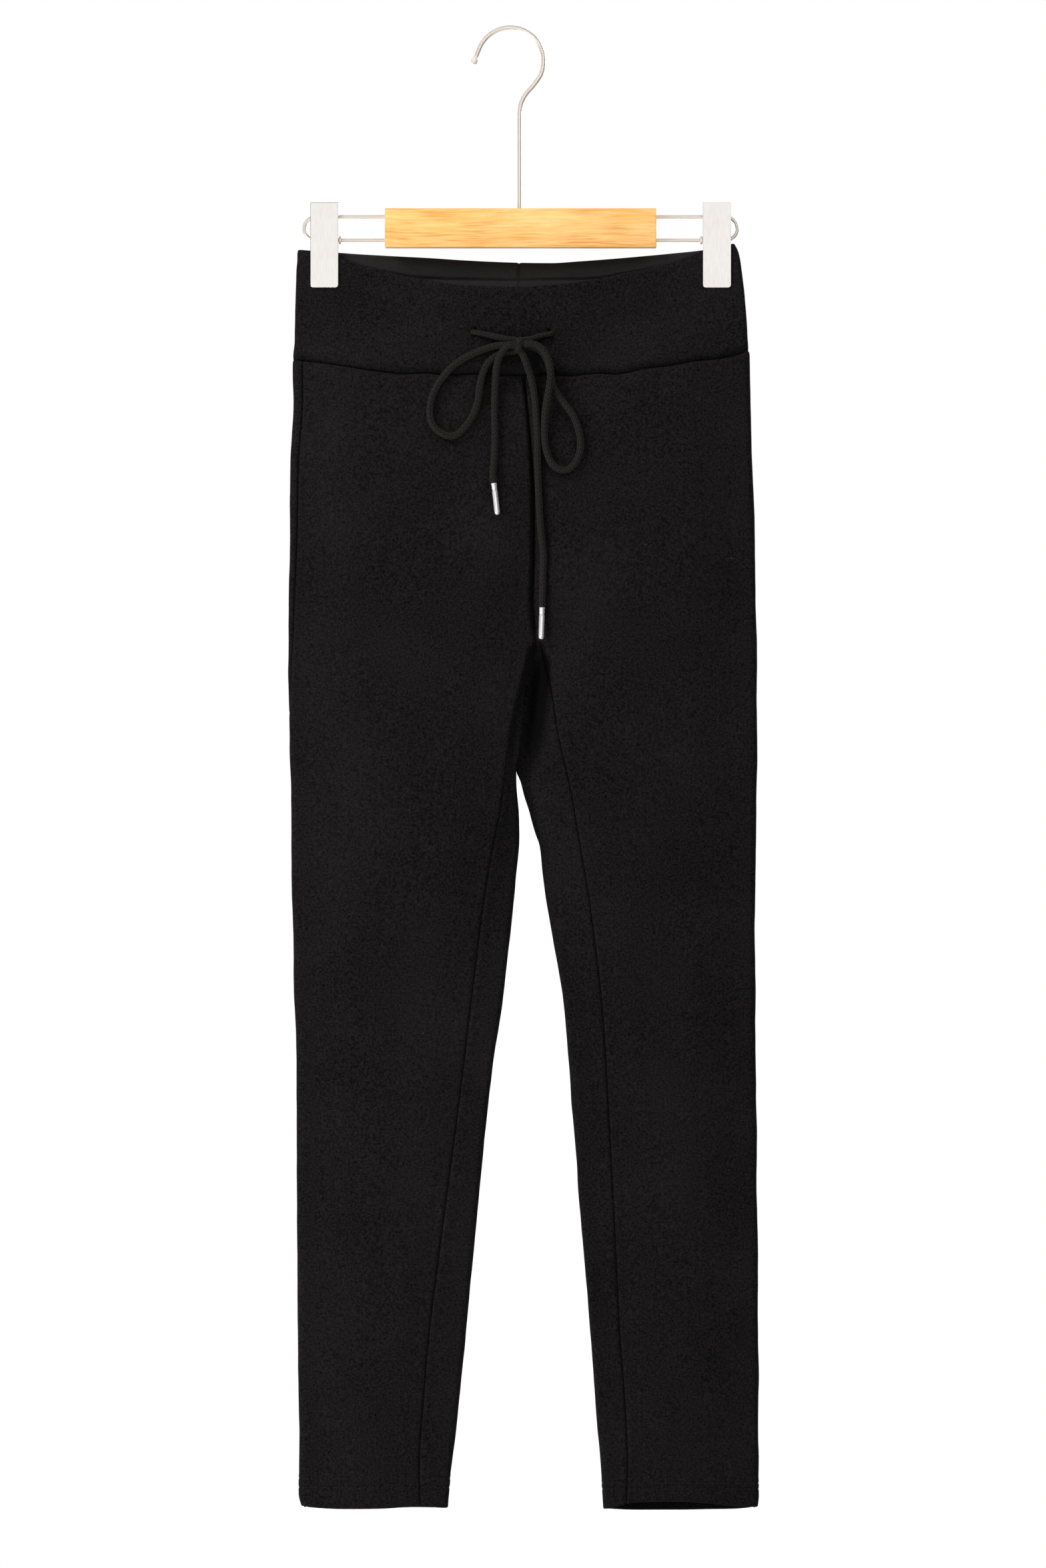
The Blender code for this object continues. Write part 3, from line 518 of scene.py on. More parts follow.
def makeWood():
    look = woodLook
    surface, nodes, shader = newMaterial("goldenBeech", look["pale"], look)
    place = addNode(nodes, "ShaderNodeSeparateXYZ", links={"Vector": places(nodes)}).outputs
    sway = times(nodes, noise(nodes, *look["swayNoise"]), look["sway"] * mm)
    swayed = addNode(nodes, "ShaderNodeCombineXYZ", links={
        "X": place["X"], "Y": place["Y"], "Z": plus(nodes, place["Z"], sway),
    }).outputs[0]
    growth, grain, streaks, flecks = (
        noise(nodes, *look[name], swayed) for name in ("growth", "grain", "streaks", "flecks")
    )
    tone = plus(nodes, times(nodes, growth, look["growthTone"]), times(nodes, grain, look["grainTone"]))
    colour = blendColours(nodes, mapRange(nodes, tone, *look["toneRange"]), look["pale"], look["warm"])
    streaked = times(
        nodes, mapRange(nodes, streaks, *look["streakRange"]), mapRange(nodes, growth, *look["streakedRange"])
    )
    colour = blendColours(nodes, streaked, colour, look["lines"])
    colour = blendColours(nodes, mapRange(nodes, flecks, *look["fleckRange"]), colour, look["lines"])
    finishSurface(nodes, shader, colour, grain, look["roughRange"])
    addBump(nodes, shader, minus(nodes, grain, streaks), *look["relief"])
    return surface


wireLook = {
    "pale": (0.94, 0.85, 0.75),
    "dull": (0.82, 0.71, 0.61),
    "brushed": (2.5, 3, 0.6),
    "shader": {"Roughness": 0.36, "Metallic": 0.65},
}
sheetLook = {
    "pale": (0.97, 0.935, 0.895),
    "dull": (0.92, 0.87, 0.82),
    "brushed": (0.7, 3, 0.6, (1, 1, 0.08)),
    "shader": {"Roughness": 0.33, "Metallic": 1.0},
}
tipLook = {
    "pale": (0.99, 0.975, 0.96),
    "dull": (0.95, 0.93, 0.91),
    "brushed": (3, 3, 0.6),
    "shader": {"Roughness": 0.26, "Metallic": 0.7},
}
metalLook = {
    "clouds": (26, 3),
    "cloudRange": (0.45, 0.9),
    "roughShares": (0.85, 1.15),
    "relief": (0.004, 0.3),
}


def makeMetal(name, look):
    surface, nodes, shader = newMaterial(name, look["pale"], look)
    brushed = noise(nodes, *look["brushed"])
    cloudy = mapRange(nodes, noise(nodes, *metalLook["clouds"]), *metalLook["cloudRange"])
    colour = blendColours(nodes, cloudy, look["pale"], look["dull"])
    roughRange = [look["shader"]["Roughness"] * share for share in metalLook["roughShares"]]
    finishSurface(nodes, shader, colour, brushed, roughRange)
    addBump(nodes, shader, brushed, *metalLook["relief"])
    return surface


rubberLook = {
    "pale": (0.74, 0.69, 0.63),
    "dull": (0.58, 0.52, 0.46),
    "clouds": (2.5, 3),
    "relief": (0.08, 0.4),
    "shader": {
        "Roughness": 0.45, "Specular IOR Level": 0.45,
        "Subsurface Weight": 0.25, "Subsurface Radius": (0.002, 0.0015, 0.001),
    },
}


def makeRubber():
    surface, nodes, shader = newMaterial("paleRubber", rubberLook["pale"], rubberLook)
    cloudy = noise(nodes, *rubberLook["clouds"])
    finishSurface(nodes, shader, blendColours(nodes, cloudy, rubberLook["pale"], rubberLook["dull"]))
    addBump(nodes, shader, cloudy, *rubberLook["relief"])
    return surface


knit = makeKnit()
thread = makeThread()
braid = makeBraid()
wood = makeWood()
wireMetal = makeMetal("satinNickelWire", wireLook)
sheetMetal = makeMetal("satinNickelSheet", sheetLook)
tipMetal = makeMetal("polishedSilver", tipLook)
rubber = makeRubber()
print("materials made")


drawstring = {
    "diameter": 4.9,
    "pulledThin": 0.74,  # share of its thickness where it comes out of a buttonhole
    "thinLength": 5,
    "swellLength": 24,  # from there to its full thickness
    "strands": 10,  # slanted plaits round the cord
    "plaitPitch": 3.3,
    "plaitLean": 0.9,
    "plaitCurve": 0.6,  # the plaits are flatter on top where this is less
    "groove": 0.75,  # between two columns of plaits, as a share of their height
    "plaitDepth": 0.5,
    "plaitMiddle": 0.62,  # this share of their height lies under the cord's mean radius
    "step": 0.42,
    "sides": 36,
    "pathStep": 3,  # every third point of the line
    "lengthLeft": 0.366,  # in metres
    "lengthRight": 0.461,
}

# Centre lines from buttonhole to tip: the strand, a turn in the knot, the loop, the knot again, the tail
leftStrand = (
    (-28.6, -6.2, -227), (-26.6, -8.4, -227.4), (-22, -9.9, -228.2), (-15, -10.3, -229.8),
    (-7, -10.4, -231.8), (-1, -10.5, -233), (2.7, -10.5, -233.2),
)
leftLoop = (
    (2.6, -13.2, -237.4), (-3, -13.2, -237.2), (-9, -12.8, -237.4), (-15, -12, -238.6),
    (-24, -10.8, -241.8), (-35.5, -10.6, -247.4), (-44, -10.6, -253.6), (-50, -10.6, -260.4),
    (-55.4, -10.2, -268.2), (-59.2, -10, -277.4), (-60.4, -10, -287.6), (-58.8, -10, -295.2),
    (-53.8, -10, -301.4), (-47.4, -10, -304.9), (-41, -10, -304.4), (-35, -10, -299.6),
    (-31, -10, -294.4), (-27.6, -10, -288.4), (-24.6, -10, -279.6), (-22.8, -10.2, -267.6),
    (-20.4, -10.6, -257.6), (-16, -10.7, -249.8), (-10, -10.7, -244.8), (-3, -10.6, -242.2),
    (2.5, -10.5, -241.6),
)
leftTail = (
    (1, -18.2, -237), (-2.4, -18.2, -238), (-5.6, -17.6, -241.6), (-8.6, -16.6, -246.6),
    (-10.2, -14.6, -253), (-11.1, -12.4, -260.5), (-11.5, -10.8, -270), (-12, -10, -286),
    (-11.6, -9.8, -302), (-12.1, -9.7, -320), (-13.2, -9.6, -333), (-12.4, -9.6, -340),
)
rightStrand = (
    (31, -6.2, -228.2), (29, -8.4, -228.7), (24.4, -9.9, -229.6), (18.4, -10.3, -231.4),
    (14, -10.4, -232.9), (10.9, -10.5, -233.2),
)
rightLoop = (
    (10.9, -15.8, -236.4), (15.4, -16, -236.2), (20.4, -16, -237.8), (25, -16, -241.6),
    (28.4, -16.2, -247.6), (30.1, -16.6, -256), (29.6, -16.6, -265), (28.2, -15.8, -273.6),
    (26.6, -13.6, -283), (25.6, -11.4, -294), (25.6, -10.2, -306), (27, -9.8, -316),
    (31, -9.8, -325.4), (38.4, -9.8, -330.6), (46, -9.8, -328.2), (51, -9.8, -320.4),
    (52.6, -9.9, -311), (51, -9.9, -300), (47, -10, -289.6), (41, -10, -281.4), (35.6, -10.1, -274.2),
    (31.6, -10.2, -266.8), (30, -10.3, -258.6), (28.4, -10.4, -250.4), (24.6, -10.4, -243.4),
    (18.4, -10.8, -239.2), (11.2, -11.2, -238.6),
)
rightTail = (
    (9.6, -15, -244.9), (11.2, -14.6, -248.8), (13, -13.4, -253.8), (15.2, -11.7, -260.6),
    (17.3, -10.4, -270), (19, -9.9, -284), (20, -9.5, -302), (20.4, -8.9, -326), (21.2, -8.2, -348),
    (22.4, -7.5, -370), (24, -7, -386), (24.8, -6.8, -394), (24.5, -6.5, -406), (24.2, -6.3, -420),
    (23.8, -6.2, -433),
)
leftInKnot = ((5.2, -12, -234.8), (6.2, -13.4, -236.6)), ((5.4, -12.2, -240), (6, -15.4, -238.4))
rightInKnot = ((8.6, -11.8, -234.8), (7.4, -13.8, -236)), ((8.4, -12.2, -239.8), (7.8, -14.2, -242))

knotShape = {
    "x": 6.4,
    "y": -14.3,
    "z": -237.2,
    "ringY": 3.85,
    "ringZ": 3.65,
    "slant": 0.9,
    "steps": 72,
    "thickness": 0.96,  # share of the cord's, as it is pulled tight
}
agletShape = {
    "gap": 0.3,
    "sides": 28,
    "profile": (  # distance from the cord's end, and radius: a rolled rim, a crimp and a rounded end
        (-2.2, 1.75), (0.0, 1.8), (0.05, 2.15), (0.35, 2.28), (0.75, 2.2), (1.1, 2.08), (4.6, 2.06),
        (4.9, 1.98), (5.2, 1.84), (5.6, 1.82), (5.95, 1.98), (6.2, 2.07), (7.0, 2.1), (14.0, 2.1),
        (21.6, 2.08), (22.6, 1.98), (23.3, 1.72), (23.75, 1.3), (23.97, 0.7), (24.0, 0.2),
    ),
}


def plaits(turns, along):
    # slanted plaits in columns that lean left and right by turns, from 0 in the grooves to 1
    column = turns / (2 * math.pi) * drawstring["strands"]
    inColumn = column % 1 - 0.5
    lean = np.where(np.floor(column) % 2 == 0, 1, -1)
    phase = along / drawstring["plaitPitch"] + lean * inColumn * drawstring["plaitLean"]
    groove = 1 - (2 * inColumn) ** 4 * drawstring["groove"]
    return np.abs(np.cos(math.pi * phase)) ** drawstring["plaitCurve"] * groove


def plaitRelief(turns, along):
    return (plaits(turns, along) - drawstring["plaitMiddle"]) * drawstring["plaitDepth"]


def addBraid(name, line, radius, closed=False):
    sides = drawstring["sides"]
    cord = addTube(name, line, radius, sides, braid, closed, plaitRelief)
    turns = np.tile(np.arange(sides) * 2 * math.pi / sides, (len(line), 1))
    # the plaits' heights, kept for the braid's painted shade in its grooves
    raised = np.zeros(len(cord.data.vertices))
    heights = plaits(turns, lengthsAlong(line)[:, None]).ravel()
    raised[: len(heights)] = heights
    storeShade(cord, "raised", raised)
    return cord


def addDrawstring(label, strand, loop, tail, inKnot):
    title = label.capitalize()
    line = smoothLine((*strand, *inKnot[0], *loop, *inKnot[1], *tail), drawstring["step"])
    swelling = ease((lengthsAlong(line) - drawstring["thinLength"]) / drawstring["swellLength"])
    radius = drawstring["diameter"] / 2 * mix(drawstring["pulledThin"], 1, swelling)
    cord = addBraid(f"drawstring{title}", line, radius)
    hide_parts(*(f"drawstring_{part}_{label}" for part in ("end", "loop", "tail")))
    print(f"{label} half of the drawstring runs {lengthsAlong(line)[-1]:.0f} mm")


def addKnot():
    # one wrap of the cord round the waist of the bow
    turns = np.linspace(0, 2 * math.pi, knotShape["steps"], endpoint=False)
    ring = np.column_stack((
        knotShape["x"] + knotShape["slant"] * np.sin(turns),
        knotShape["y"] + knotShape["ringY"] * np.cos(turns),
        knotShape["z"] + knotShape["ringZ"] * np.sin(turns),
    ))
    radius = drawstring["diameter"] / 2 * knotShape["thickness"]
    knot = addBraid("bowKnot", ring, radius, closed=True)
    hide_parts("drawstring_knot")
    return knot


def addAglet(label, tail):
    end, before = np.array(tail[-1]), np.array(tail[-2])
    onward = (end - before) / np.linalg.norm(end - before)
    along, radius = np.array(agletShape["profile"]).T
    line = end + onward * (along + agletShape["gap"])[:, None]
    aglet = addTube(
        f"cordTip{label.capitalize()}", line, radius, agletShape["sides"], tipMetal
    )
    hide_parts(f"aglet_{label}")
    return aglet


wall = {"leg": 1.4, "hem": 2.6, "band": 2.4, "hemFade": 2}  # thickness, and how fast the hem's sets in
edgeRound = {"leg": 0.9, "band": 0.85}  # how far the turn at an edge stands out
foldRadius = 4.4
quarterFold = foldRadius * math.pi / 2  # along the cloth, from a folded edge to a flat face
garmentY = 4.6  # middle of the garment's depth, under the rails
riseWidth = 50  # the faces stand fully apart this far from a fold
narrowRise = 28  # the same beside the hollow below the crotch
tuckWidth = 15
waistLevel, crotchLevel, hemTop, hemLevel = -250, -459, -1084, -1107
crotchX = 19.5
waistCurveEnds, hemCurveStarts = -400, -1020  # the rows of a leg are straight between these
seamGap = -0.1  # the panels press together along their seams

outline = nameColumns(
    "z left right",
    (-161, -159, 168.5),
    (-168, -159.5, 171.6),
    (-178, -160.5, 173.3),
    (-203, -161, 176.3),
    (-233, -161.6, 178),
    (-251, -163.3, 179.5),
    (-280, -162.9, 180.1),
    (-328, -165.4, 181.5),
    (-378, -165.6, 183.6),
    (-428, -166.2, 184.3),
    (-478, -166.4, 185.2),
    (-578, -164.6, 184.9),
    (-628, -164.3, 184),
    (-678, -163.1, 183.6),
    (-728, -162, 183.9),
    (-778, -160.5, 184.3),
    (-828, -160.5, 185.2),
    (-878, -160.3, 185.4),
    (-928, -159.9, 186),
    (-978, -159.7, 185.9),
    (-1028, -159, 186.3),
    (-1078, -158.5, 186.2),
    (-1098, -158.3, 186.3),
    (-1107, -156.3, 185.4),
)
centreSeam = nameColumns(
    "z front back overlap",
    (-250, 10.5, 6.5, 60),
    (-262, 11.5, 7, 56),
    (-302, 15, 8.5, 44),
    (-349, 17.5, 11, 32),
    (-396, 17.5, 14, 20),
    (-427, 16.5, 17, 10.5),
    (-446, 18, 18.5, 4.2),
    (-455, 19, 19.2, 1.2),
    (-459, 19.5, 19.5, 0),
)
leftLeg = nameColumns(
    "z fold inseam back",
    (-459, 20.1, 19.6, 0),
    (-464, 18.5, 14.2, -0.5),
    (-470, 16.4, 12.8, -0.9),
    (-489, 12.3, 8.2, -1.3),
    (-504, 10.9, 4.6, -1.5),
    (-526, 8.8, 0.2, -1.5),
    (-545, 6.8, -2, -1.5),
    (-555, 4.7, -3.2, -1.5),
    (-566, 4.8, -4.4, -1.3),
    (-587, 6.3, -7.5, -1),
    (-604, 6.7, -11.2, -0.8),
    (-640, 4, -17.6, -0.5),
    (-670, 0.6, -22, 0),
    (-728, -5.8, -29, 0),
    (-778, -13.2, -35, 0),
    (-828, -18.9, -41.3, 0),
    (-878, -23.9, -48, 0),
    (-928, -28.6, -54.5, 0),
    (-978, -33.5, -60.7, 0),
    (-1028, -38.3, -65, 0),
    (-1078, -44.2, -68.2, 0),
    (-1107, -46.9, -67.5, 0),
)
# How the inner strips sink below the crotch: the left one at its seam, the right one beside its fold
innerTuck = nameColumns(
    "z left right step slope hollow floor wall",
    (-459, 0, 0, 0, 0, 0, 2, 4),
    (-464, 0.8, 1, 1.2, 0, 2.2, 3, 6),
    (-472, 1.4, 2.4, 2.2, 0, 4.6, 5.5, 10),
    (-489, 1.6, 3.6, 2.6, 0.4, 6.2, 9, 17),
    (-510, 1.4, 3.8, 2.3, 2.8, 6.2, 10, 19),
    (-530, 1, 3.2, 1.7, 4, 5.6, 11, 22),
    (-552, 0.6, 1.8, 0.9, 3.8, 3.8, 9, 20),
    (-576, 0.3, 0.8, 0.3, 2, 1.4, 8, 18),
    (-612, 0, 0, 0, 0, 0, 8, 18),
)
crotchShade = nameColumns(  # painted shade below the crotch where the legs meet: its amount, and how far from the fold it reaches and fades
    "z amount reach fade",
    (-459, 0.5, 3, 3),
    (-464, 0.97, 5.5, 5),
    (-476, 0.96, 13, 5),
    (-489, 0.92, 16, 6),
    (-510, 0.88, 15, 9),
    (-530, 0.8, 14, 10),
    (-552, 0.62, 10, 9),
    (-566, 0.72, 3.5, 4.5),
    (-600, 0.6, 1.5, 3.5),
    (-640, 0.35, 1, 3),
    (-690, 0, 1, 3),
)
rightLeg = nameColumns(
    "z fold inseam back",
    (-459, 18.9, 19.4, 0),
    (-464, 17.6, 23.4, 0.5),
    (-470, 15.9, 24.6, 1),
    (-489, 11.2, 29.4, 1.8),
    (-504, 9.5, 32, 2.1),
    (-526, 7.4, 35.4, 2.1),
    (-545, 5.5, 39.6, 2.1),
    (-555, 4.1, 42, 2),
    (-564, 7.4, 44, 1.9),
    (-576, 10.6, 46.4, 1.8),
    (-587, 14.4, 48.2, 1.7),
    (-604, 19.1, 51, 1.6),
    (-612, 21.7, 52.4, 1.5),
    (-629, 23.6, 55.3, 1.4),
    (-647, 25.8, 58.3, 1),
    (-676, 30.6, 62.3, 0.4),
    (-728, 39.4, 68.4, 0),
    (-778, 44, 72, 0),
    (-828, 48.1, 74.6, 0),
    (-878, 51.9, 77.3, 0),
    (-928, 55.9, 79.7, 0),
    (-978, 60.1, 82.2, 0),
    (-1028, 63.5, 85.8, 0),
    (-1078, 68, 88, 0),
    (-1107, 70.2, 87.2, 0),
)
sideSeam = nameColumns(
    "z left right",
    (-250, 7.5, -3),
    (-330, 6.5, -3),
    (-400, 5.2, -3),
    (-440, 3.8, -3),
    (-480, 1.6, -3),
    (-540, -1, -3),
    (-640, -3, -3),
    (-1107, -3, -3),
)
halfDepth = nameColumns(
    "z front back",
    (-250, 11.5, 10.8),
    (-330, 11.5, 10.6),
    (-459, 10.6, 10),
    (-600, 9.6, 9.4),
    (-800, 8.6, 8.6),
    (-1000, 8, 8),
    (-1107, 7.4, 7.4),
)
waistSeam = nameColumns(
    "x front back",
    (-163, -247.2, -247.2),
    (-126, -252, -247.4),
    (-95, -257, -246.8),
    (-50, -258.6, -246.2),
    (0, -259.2, -246),
    (50, -259.2, -245.8),
    (90, -256.7, -245.2),
    (117, -251.9, -244.4),
    (139, -249, -243.6),
    (160, -246.2, -242.6),
    (179, -241.2, -241.2),
)
bandTop = nameColumns(
    "x front back",
    (-159, -165.5, -165.5),
    (-150, -166.3, -165.9),
    (-127, -172, -167.7),
    (-104, -179.7, -169.2),
    (-58, -189.2, -171.4),
    (-36, -192.3, -172.8),
    (6.5, -193.7, -174.6),
    (30, -192.4, -174.9),
    (52, -190, -173.6),
    (89, -182.7, -170.9),
    (123, -174.4, -167.9),
    (143, -167, -165.8),
    (155, -163.8, -163.6),
    (167.5, -160.8, -160.8),
)
hemEdge = nameColumns(
    "x front back",
    (-158, -1107, -1107.6),
    (-150, -1108.4, -1108.8),
    (-127, -1109.6, -1109.8),
    (-97, -1109.2, -1109.7),
    (-69, -1107.7, -1108.8),
    (-48, -1108.8, -1109),
    (71, -1109.5, -1109.8),
    (88, -1105.6, -1110.6),
    (98, -1104.4, -1110.8),
    (128, -1104, -1110.9),
    (148, -1105.3, -1110.5),
    (168, -1107.6, -1110),
    (185, -1108.2, -1108.4),
)


def sideName(side):
    return "left" if side == left else "right"


def readAt(rows, column, where):
    return float(readCurve(rows, column, where))


def bothFaces(rows, where):
    return [readAt(rows, face, where) for face in ("front", "back")]


def onFace(rows, where, front):
    return np.where(front, readCurve(rows, "front", where), readCurve(rows, "back", where))


def arcToDistance(s):
    # distance in from a folded edge of a point that lies s along the cloth from it
    s = np.abs(s)
    turned = foldRadius * (1 - np.cos(np.minimum(s, quarterFold) / foldRadius))
    return np.where(s < quarterFold, turned, foldRadius + s - quarterFold)


def distanceToArc(d):
    size = abs(d)
    if size < foldRadius:
        return math.copysign(foldRadius * math.acos(1 - size / foldRadius), d)
    return math.copysign(quarterFold + size - foldRadius, d)


def bulge(d, radius, start, reach, depth):
    # half depth of the flattened tube of cloth at a distance d in from its folded edge
    d = np.asarray(d, float)
    rounded = np.sqrt(np.maximum(d * (2 * radius - d), 0))
    rise = np.clip((d - start) / reach, 0, 1)
    return np.where(d < radius, rounded, radius + (depth - radius) * np.sin(rise * math.pi / 2) ** 2)


strips = {  # beside the inner folds
    "lip": 3,  # the edge of a fold stays full this far in
    "stepWidth": 1.1,
    "narrowFrom": 5,  # a hollow this deep narrows the rise fully
    "crotchShadeLeft": 0.55,  # the left strip gets this share of the right one's painted shade
    "fadeLeft": 1.5,
    "foldShadeShare": 0.45,  # the edge of the right fold gets this share of the painted shade
    "foldFade": 6,
    "foldFrom": 4,  # where the hollow is this deep
}
plainStrip = {
    "shift": 0.0, "tuck": 0.0, "step": 0.0, "slope": 0.0, "hollow": 0.0, "strip": 1.0, "floor": 2.0,
    "wall": 4.0, "rise": riseWidth, "crotchShade": 0.0, "reach": 1.0, "fade": 1.0,
}
narrowestSeam = 0.02


def legLevel(side, z):
    # edges and folds of one half of the garment at a height below the waist seam
    label = sideName(side)
    at = {"outer": readAt(outline, label, z), "depth": bothFaces(halfDepth, z)}
    at["sideSeam"] = distanceToArc(readAt(sideSeam, label, z))
    if z >= crotchLevel:
        overlap = readAt(centreSeam, "overlap", z)
        at["inner"] = [middle + side * (seamGap / 2 - overlap) for middle in bothFaces(centreSeam, z)]
        seam = max(distanceToArc(overlap), narrowestSeam)
        at.update(plainStrip, frontSeam=seam, backSeam=-seam)
        return at
    leg = leftLeg if side == left else rightLeg
    fold = readAt(leg, "fold", z)
    strip = abs(readAt(leg, "inseam", z) - fold)
    seam = distanceToArc(strip)
    at.update(inner=[fold, fold], frontSeam=seam + seamGap / 2, backSeam=seam - seamGap / 2, strip=strip)
    at.update(shift=readAt(leg, "back", z), tuck=readAt(innerTuck, label, z))
    # how much painted shade falls on the strips below the crotch, and how far it reaches
    at["crotchShade"] = readAt(crotchShade, "amount", z)
    at.update((name, readAt(innerTuck, name, z)) for name in ("step", "slope", "hollow", "floor", "wall"))
    if side == left:
        at["crotchShade"] *= strips["crotchShadeLeft"]
        at.update(hollow=0.0, rise=riseWidth, reach=strip, fade=strips["fadeLeft"])
    else:
        narrowing = min(1, at["hollow"] / strips["narrowFrom"])
        at.update(step=0.0, slope=0.0, rise=mix(riseWidth, narrowRise, narrowing))
        at.update((name, readAt(crotchShade, name, z)) for name in ("reach", "fade"))
    return at


def legSection(at, side, fromOuter, s):
    # points of a leg's outer skin, s along the cloth from a fold, on the front face where s is positive
    front = s > 0
    inner = np.where(front, *at["inner"])
    d = arcToDistance(s)
    x = np.where(fromOuter, at["outer"] - side * d, inner + side * d)
    depth = np.where(front, *at["depth"])
    fromFold = np.abs(x - inner)
    byOuter = bulge(np.abs(x - at["outer"]), foldRadius, foldRadius, riseWidth, depth)
    byInner = bulge(fromFold, foldRadius, foldRadius, at["rise"], depth)
    lean = at["shift"] * (1 - ease(fromFold / riseWidth))
    lean = lean + at["tuck"] * (1 - ease((fromFold - strips["lip"]) / tuckWidth))
    onLip = hump(fromFold, strips["lip"])
    toSeam = np.maximum(at["strip"] - fromFold, 0)
    sunk = at["hollow"] * (1 - ease((fromFold - at["floor"]) / (at["wall"] - at["floor"])))
    sunk = (sunk + at["slope"] * toSeam / at["strip"]) * (1 - onLip)
    sunk = sunk + at["step"] * (1 - np.exp(-toSeam / strips["stepWidth"]))
    y = garmentY + lean + np.where(front, sunk, 0) - np.where(front, 1, -1) * byOuter * byInner / depth
    # painted shade below the crotch: on the front strips out from the fold and on the fold's lip behind, less
    # on the right fold's edge where its hollow is deep
    paintedShade = np.where(front, 1 - ease((fromFold - at["reach"]) / at["fade"]), onLip)
    paintedShade = paintedShade * at["crotchShade"]
    if side == right:
        tone = mix(strips["foldShadeShare"], 1, ease((fromFold - strips["lip"]) / strips["foldFade"]))
        paintedShade = paintedShade * mix(1, tone, min(1, at["hollow"] / strips["foldFrom"]))
    return x, y, front, paintedShade


def waistLine(x, front):
    # height of the seam under the waistband, which wavers a little
    height, size, seed = seamLook["waver"]
    return onFace(waistSeam, x, front) + height * waves(x, 0, size, seed)


def legHeight(x, z, front):
    # a row bends to the waist seam at the top and to the hem at the bottom
    nearWaist = ease((z - waistCurveEnds) / (waistLevel - waistCurveEnds))
    nearHem = ease((hemCurveStarts - z) / (hemCurveStarts - hemLevel))
    hem = onFace(hemEdge, x, front)
    return z + (waistLine(x, front) - waistLevel) * nearWaist + (hem - hemLevel) * nearHem


nearSeam = np.array((0, 0.35, 0.75, 1.2, 1.8, 2.6, 3.6, 5.0))  # columns beside a seam, closest at its edge
underWaistSeam = np.array((0, 0.4, 0.9, 1.6, 2.5, 3.6, 5))  # rows under the waist seam
overHemEdge = np.array((5, 4, 3.2, 2.5, 1.9, 1.3))  # rows over the hem's edge
flatFrom = quarterFold + 4  # the even columns of the flat faces begin here
columnsOver = {  # how many columns cross a fold's turn, a flat face and the stretch before the inner seam
    "frontTurn": 6, "frontFlat": 52, "frontInner": 5, "backTurn": 10, "backFlat": 48, "backInner": 26,
}
clearOf = {"seam": 7, "backSeam": 6, "backFold": 8}  # the flat faces' columns stay this far from a seam
rowStep = {"leg": 3.2, "crotch": 1.6, "hem": 0.85}
rowPlaces = {  # where each stretch of rows starts and ends, counted from the nearest level
    "upperLeg": (-8, 12),
    "overCrotch": (9.6, -0.1),
    "atCrotch": (-0.15, -0.6, -1.2),
    "underCrotch": (2, 30),  # downwards
    "lowerLeg": (-32, 8),
    "hem": (6, 6),
}


def spaced(start, end, count):
    return np.linspace(start, end, count, endpoint=False)


def acrossFlat(at, side, face, sOuter, sInner, count):
    start = at["outer"] - side * float(arcToDistance(sOuter))
    end = at["inner"][0 if face > 0 else 1] + side * float(arcToDistance(sInner))
    d = np.abs(spaced(start, end, count) - at["outer"])
    return face * (quarterFold + d - foldRadius)


def joinColumns(outer, inner):
    # all the columns of a row, and which of them are counted from the outer fold
    outer, inner = np.concatenate(outer), np.concatenate(inner)
    return np.arange(len(outer) + len(inner)) < len(outer), np.concatenate((outer, inner))


def frontColumns(at, side):
    start = at["sideSeam"] + seamGap / 2
    turned = max(flatFrom, start + clearOf["seam"])
    beforeSeam = max(flatFrom, at["frontSeam"] + clearOf["seam"])
    return joinColumns(
        (
            start + nearSeam, spaced(start + nearSeam[-1], turned, columnsOver["frontTurn"])[1:],
            acrossFlat(at, side, 1, turned, beforeSeam, columnsOver["frontFlat"]),
        ), (
            spaced(beforeSeam, at["frontSeam"] + nearSeam[-1], columnsOver["frontInner"]),
            at["frontSeam"] + nearSeam[::-1],
        ),
    )


def backColumns(at, side):
    start = at["sideSeam"] - seamGap / 2
    beforeFold = -max(flatFrom, clearOf["backFold"] - at["backSeam"])
    turned = min(-flatFrom, start - clearOf["backSeam"])
    return joinColumns(
        (
            start - nearSeam, spaced(start - nearSeam[-1], turned, columnsOver["backTurn"])[1:],
            acrossFlat(at, side, -1, -turned, -beforeFold, columnsOver["backFlat"]),
        ), (
            spaced(beforeFold, at["backSeam"] - nearSeam[-1], columnsOver["backInner"]),
            at["backSeam"] - nearSeam[::-1],
        ),
    )


def legRows():
    # heights of the rows, closer together at the waist, the crotch and the hem
    (upperStart, upperEnd), (lowerStart, lowerEnd) = rowPlaces["upperLeg"], rowPlaces["lowerLeg"]
    hemStart, hemEnd = rowPlaces["hem"]
    return np.concatenate((
        waistLevel - underWaistSeam,
        np.arange(waistLevel + upperStart, crotchLevel + upperEnd, -rowStep["leg"]),
        crotchLevel + np.arange(*rowPlaces["overCrotch"], -rowStep["crotch"]),
        crotchLevel + np.array(rowPlaces["atCrotch"]),
        crotchLevel - np.arange(*rowPlaces["underCrotch"], rowStep["crotch"]),
        np.arange(crotchLevel + lowerStart, hemTop + lowerEnd, -rowStep["leg"]),
        np.arange(hemTop + hemStart, hemLevel + hemEnd, -rowStep["hem"]),
        hemLevel + overHemEdge,
    ))


def outwardNormals(points, sign):
    down = np.gradient(points, axis=0)
    along = np.gradient(points, axis=1)
    return unit(np.cross(down, along)) * sign


def seamGroove(gap, depth, width):
    # edges that roll in to a sharp line
    return -depth * np.exp(-np.abs(gap) / width)


edgeTurns = 6  # rows round the edge of a cloth


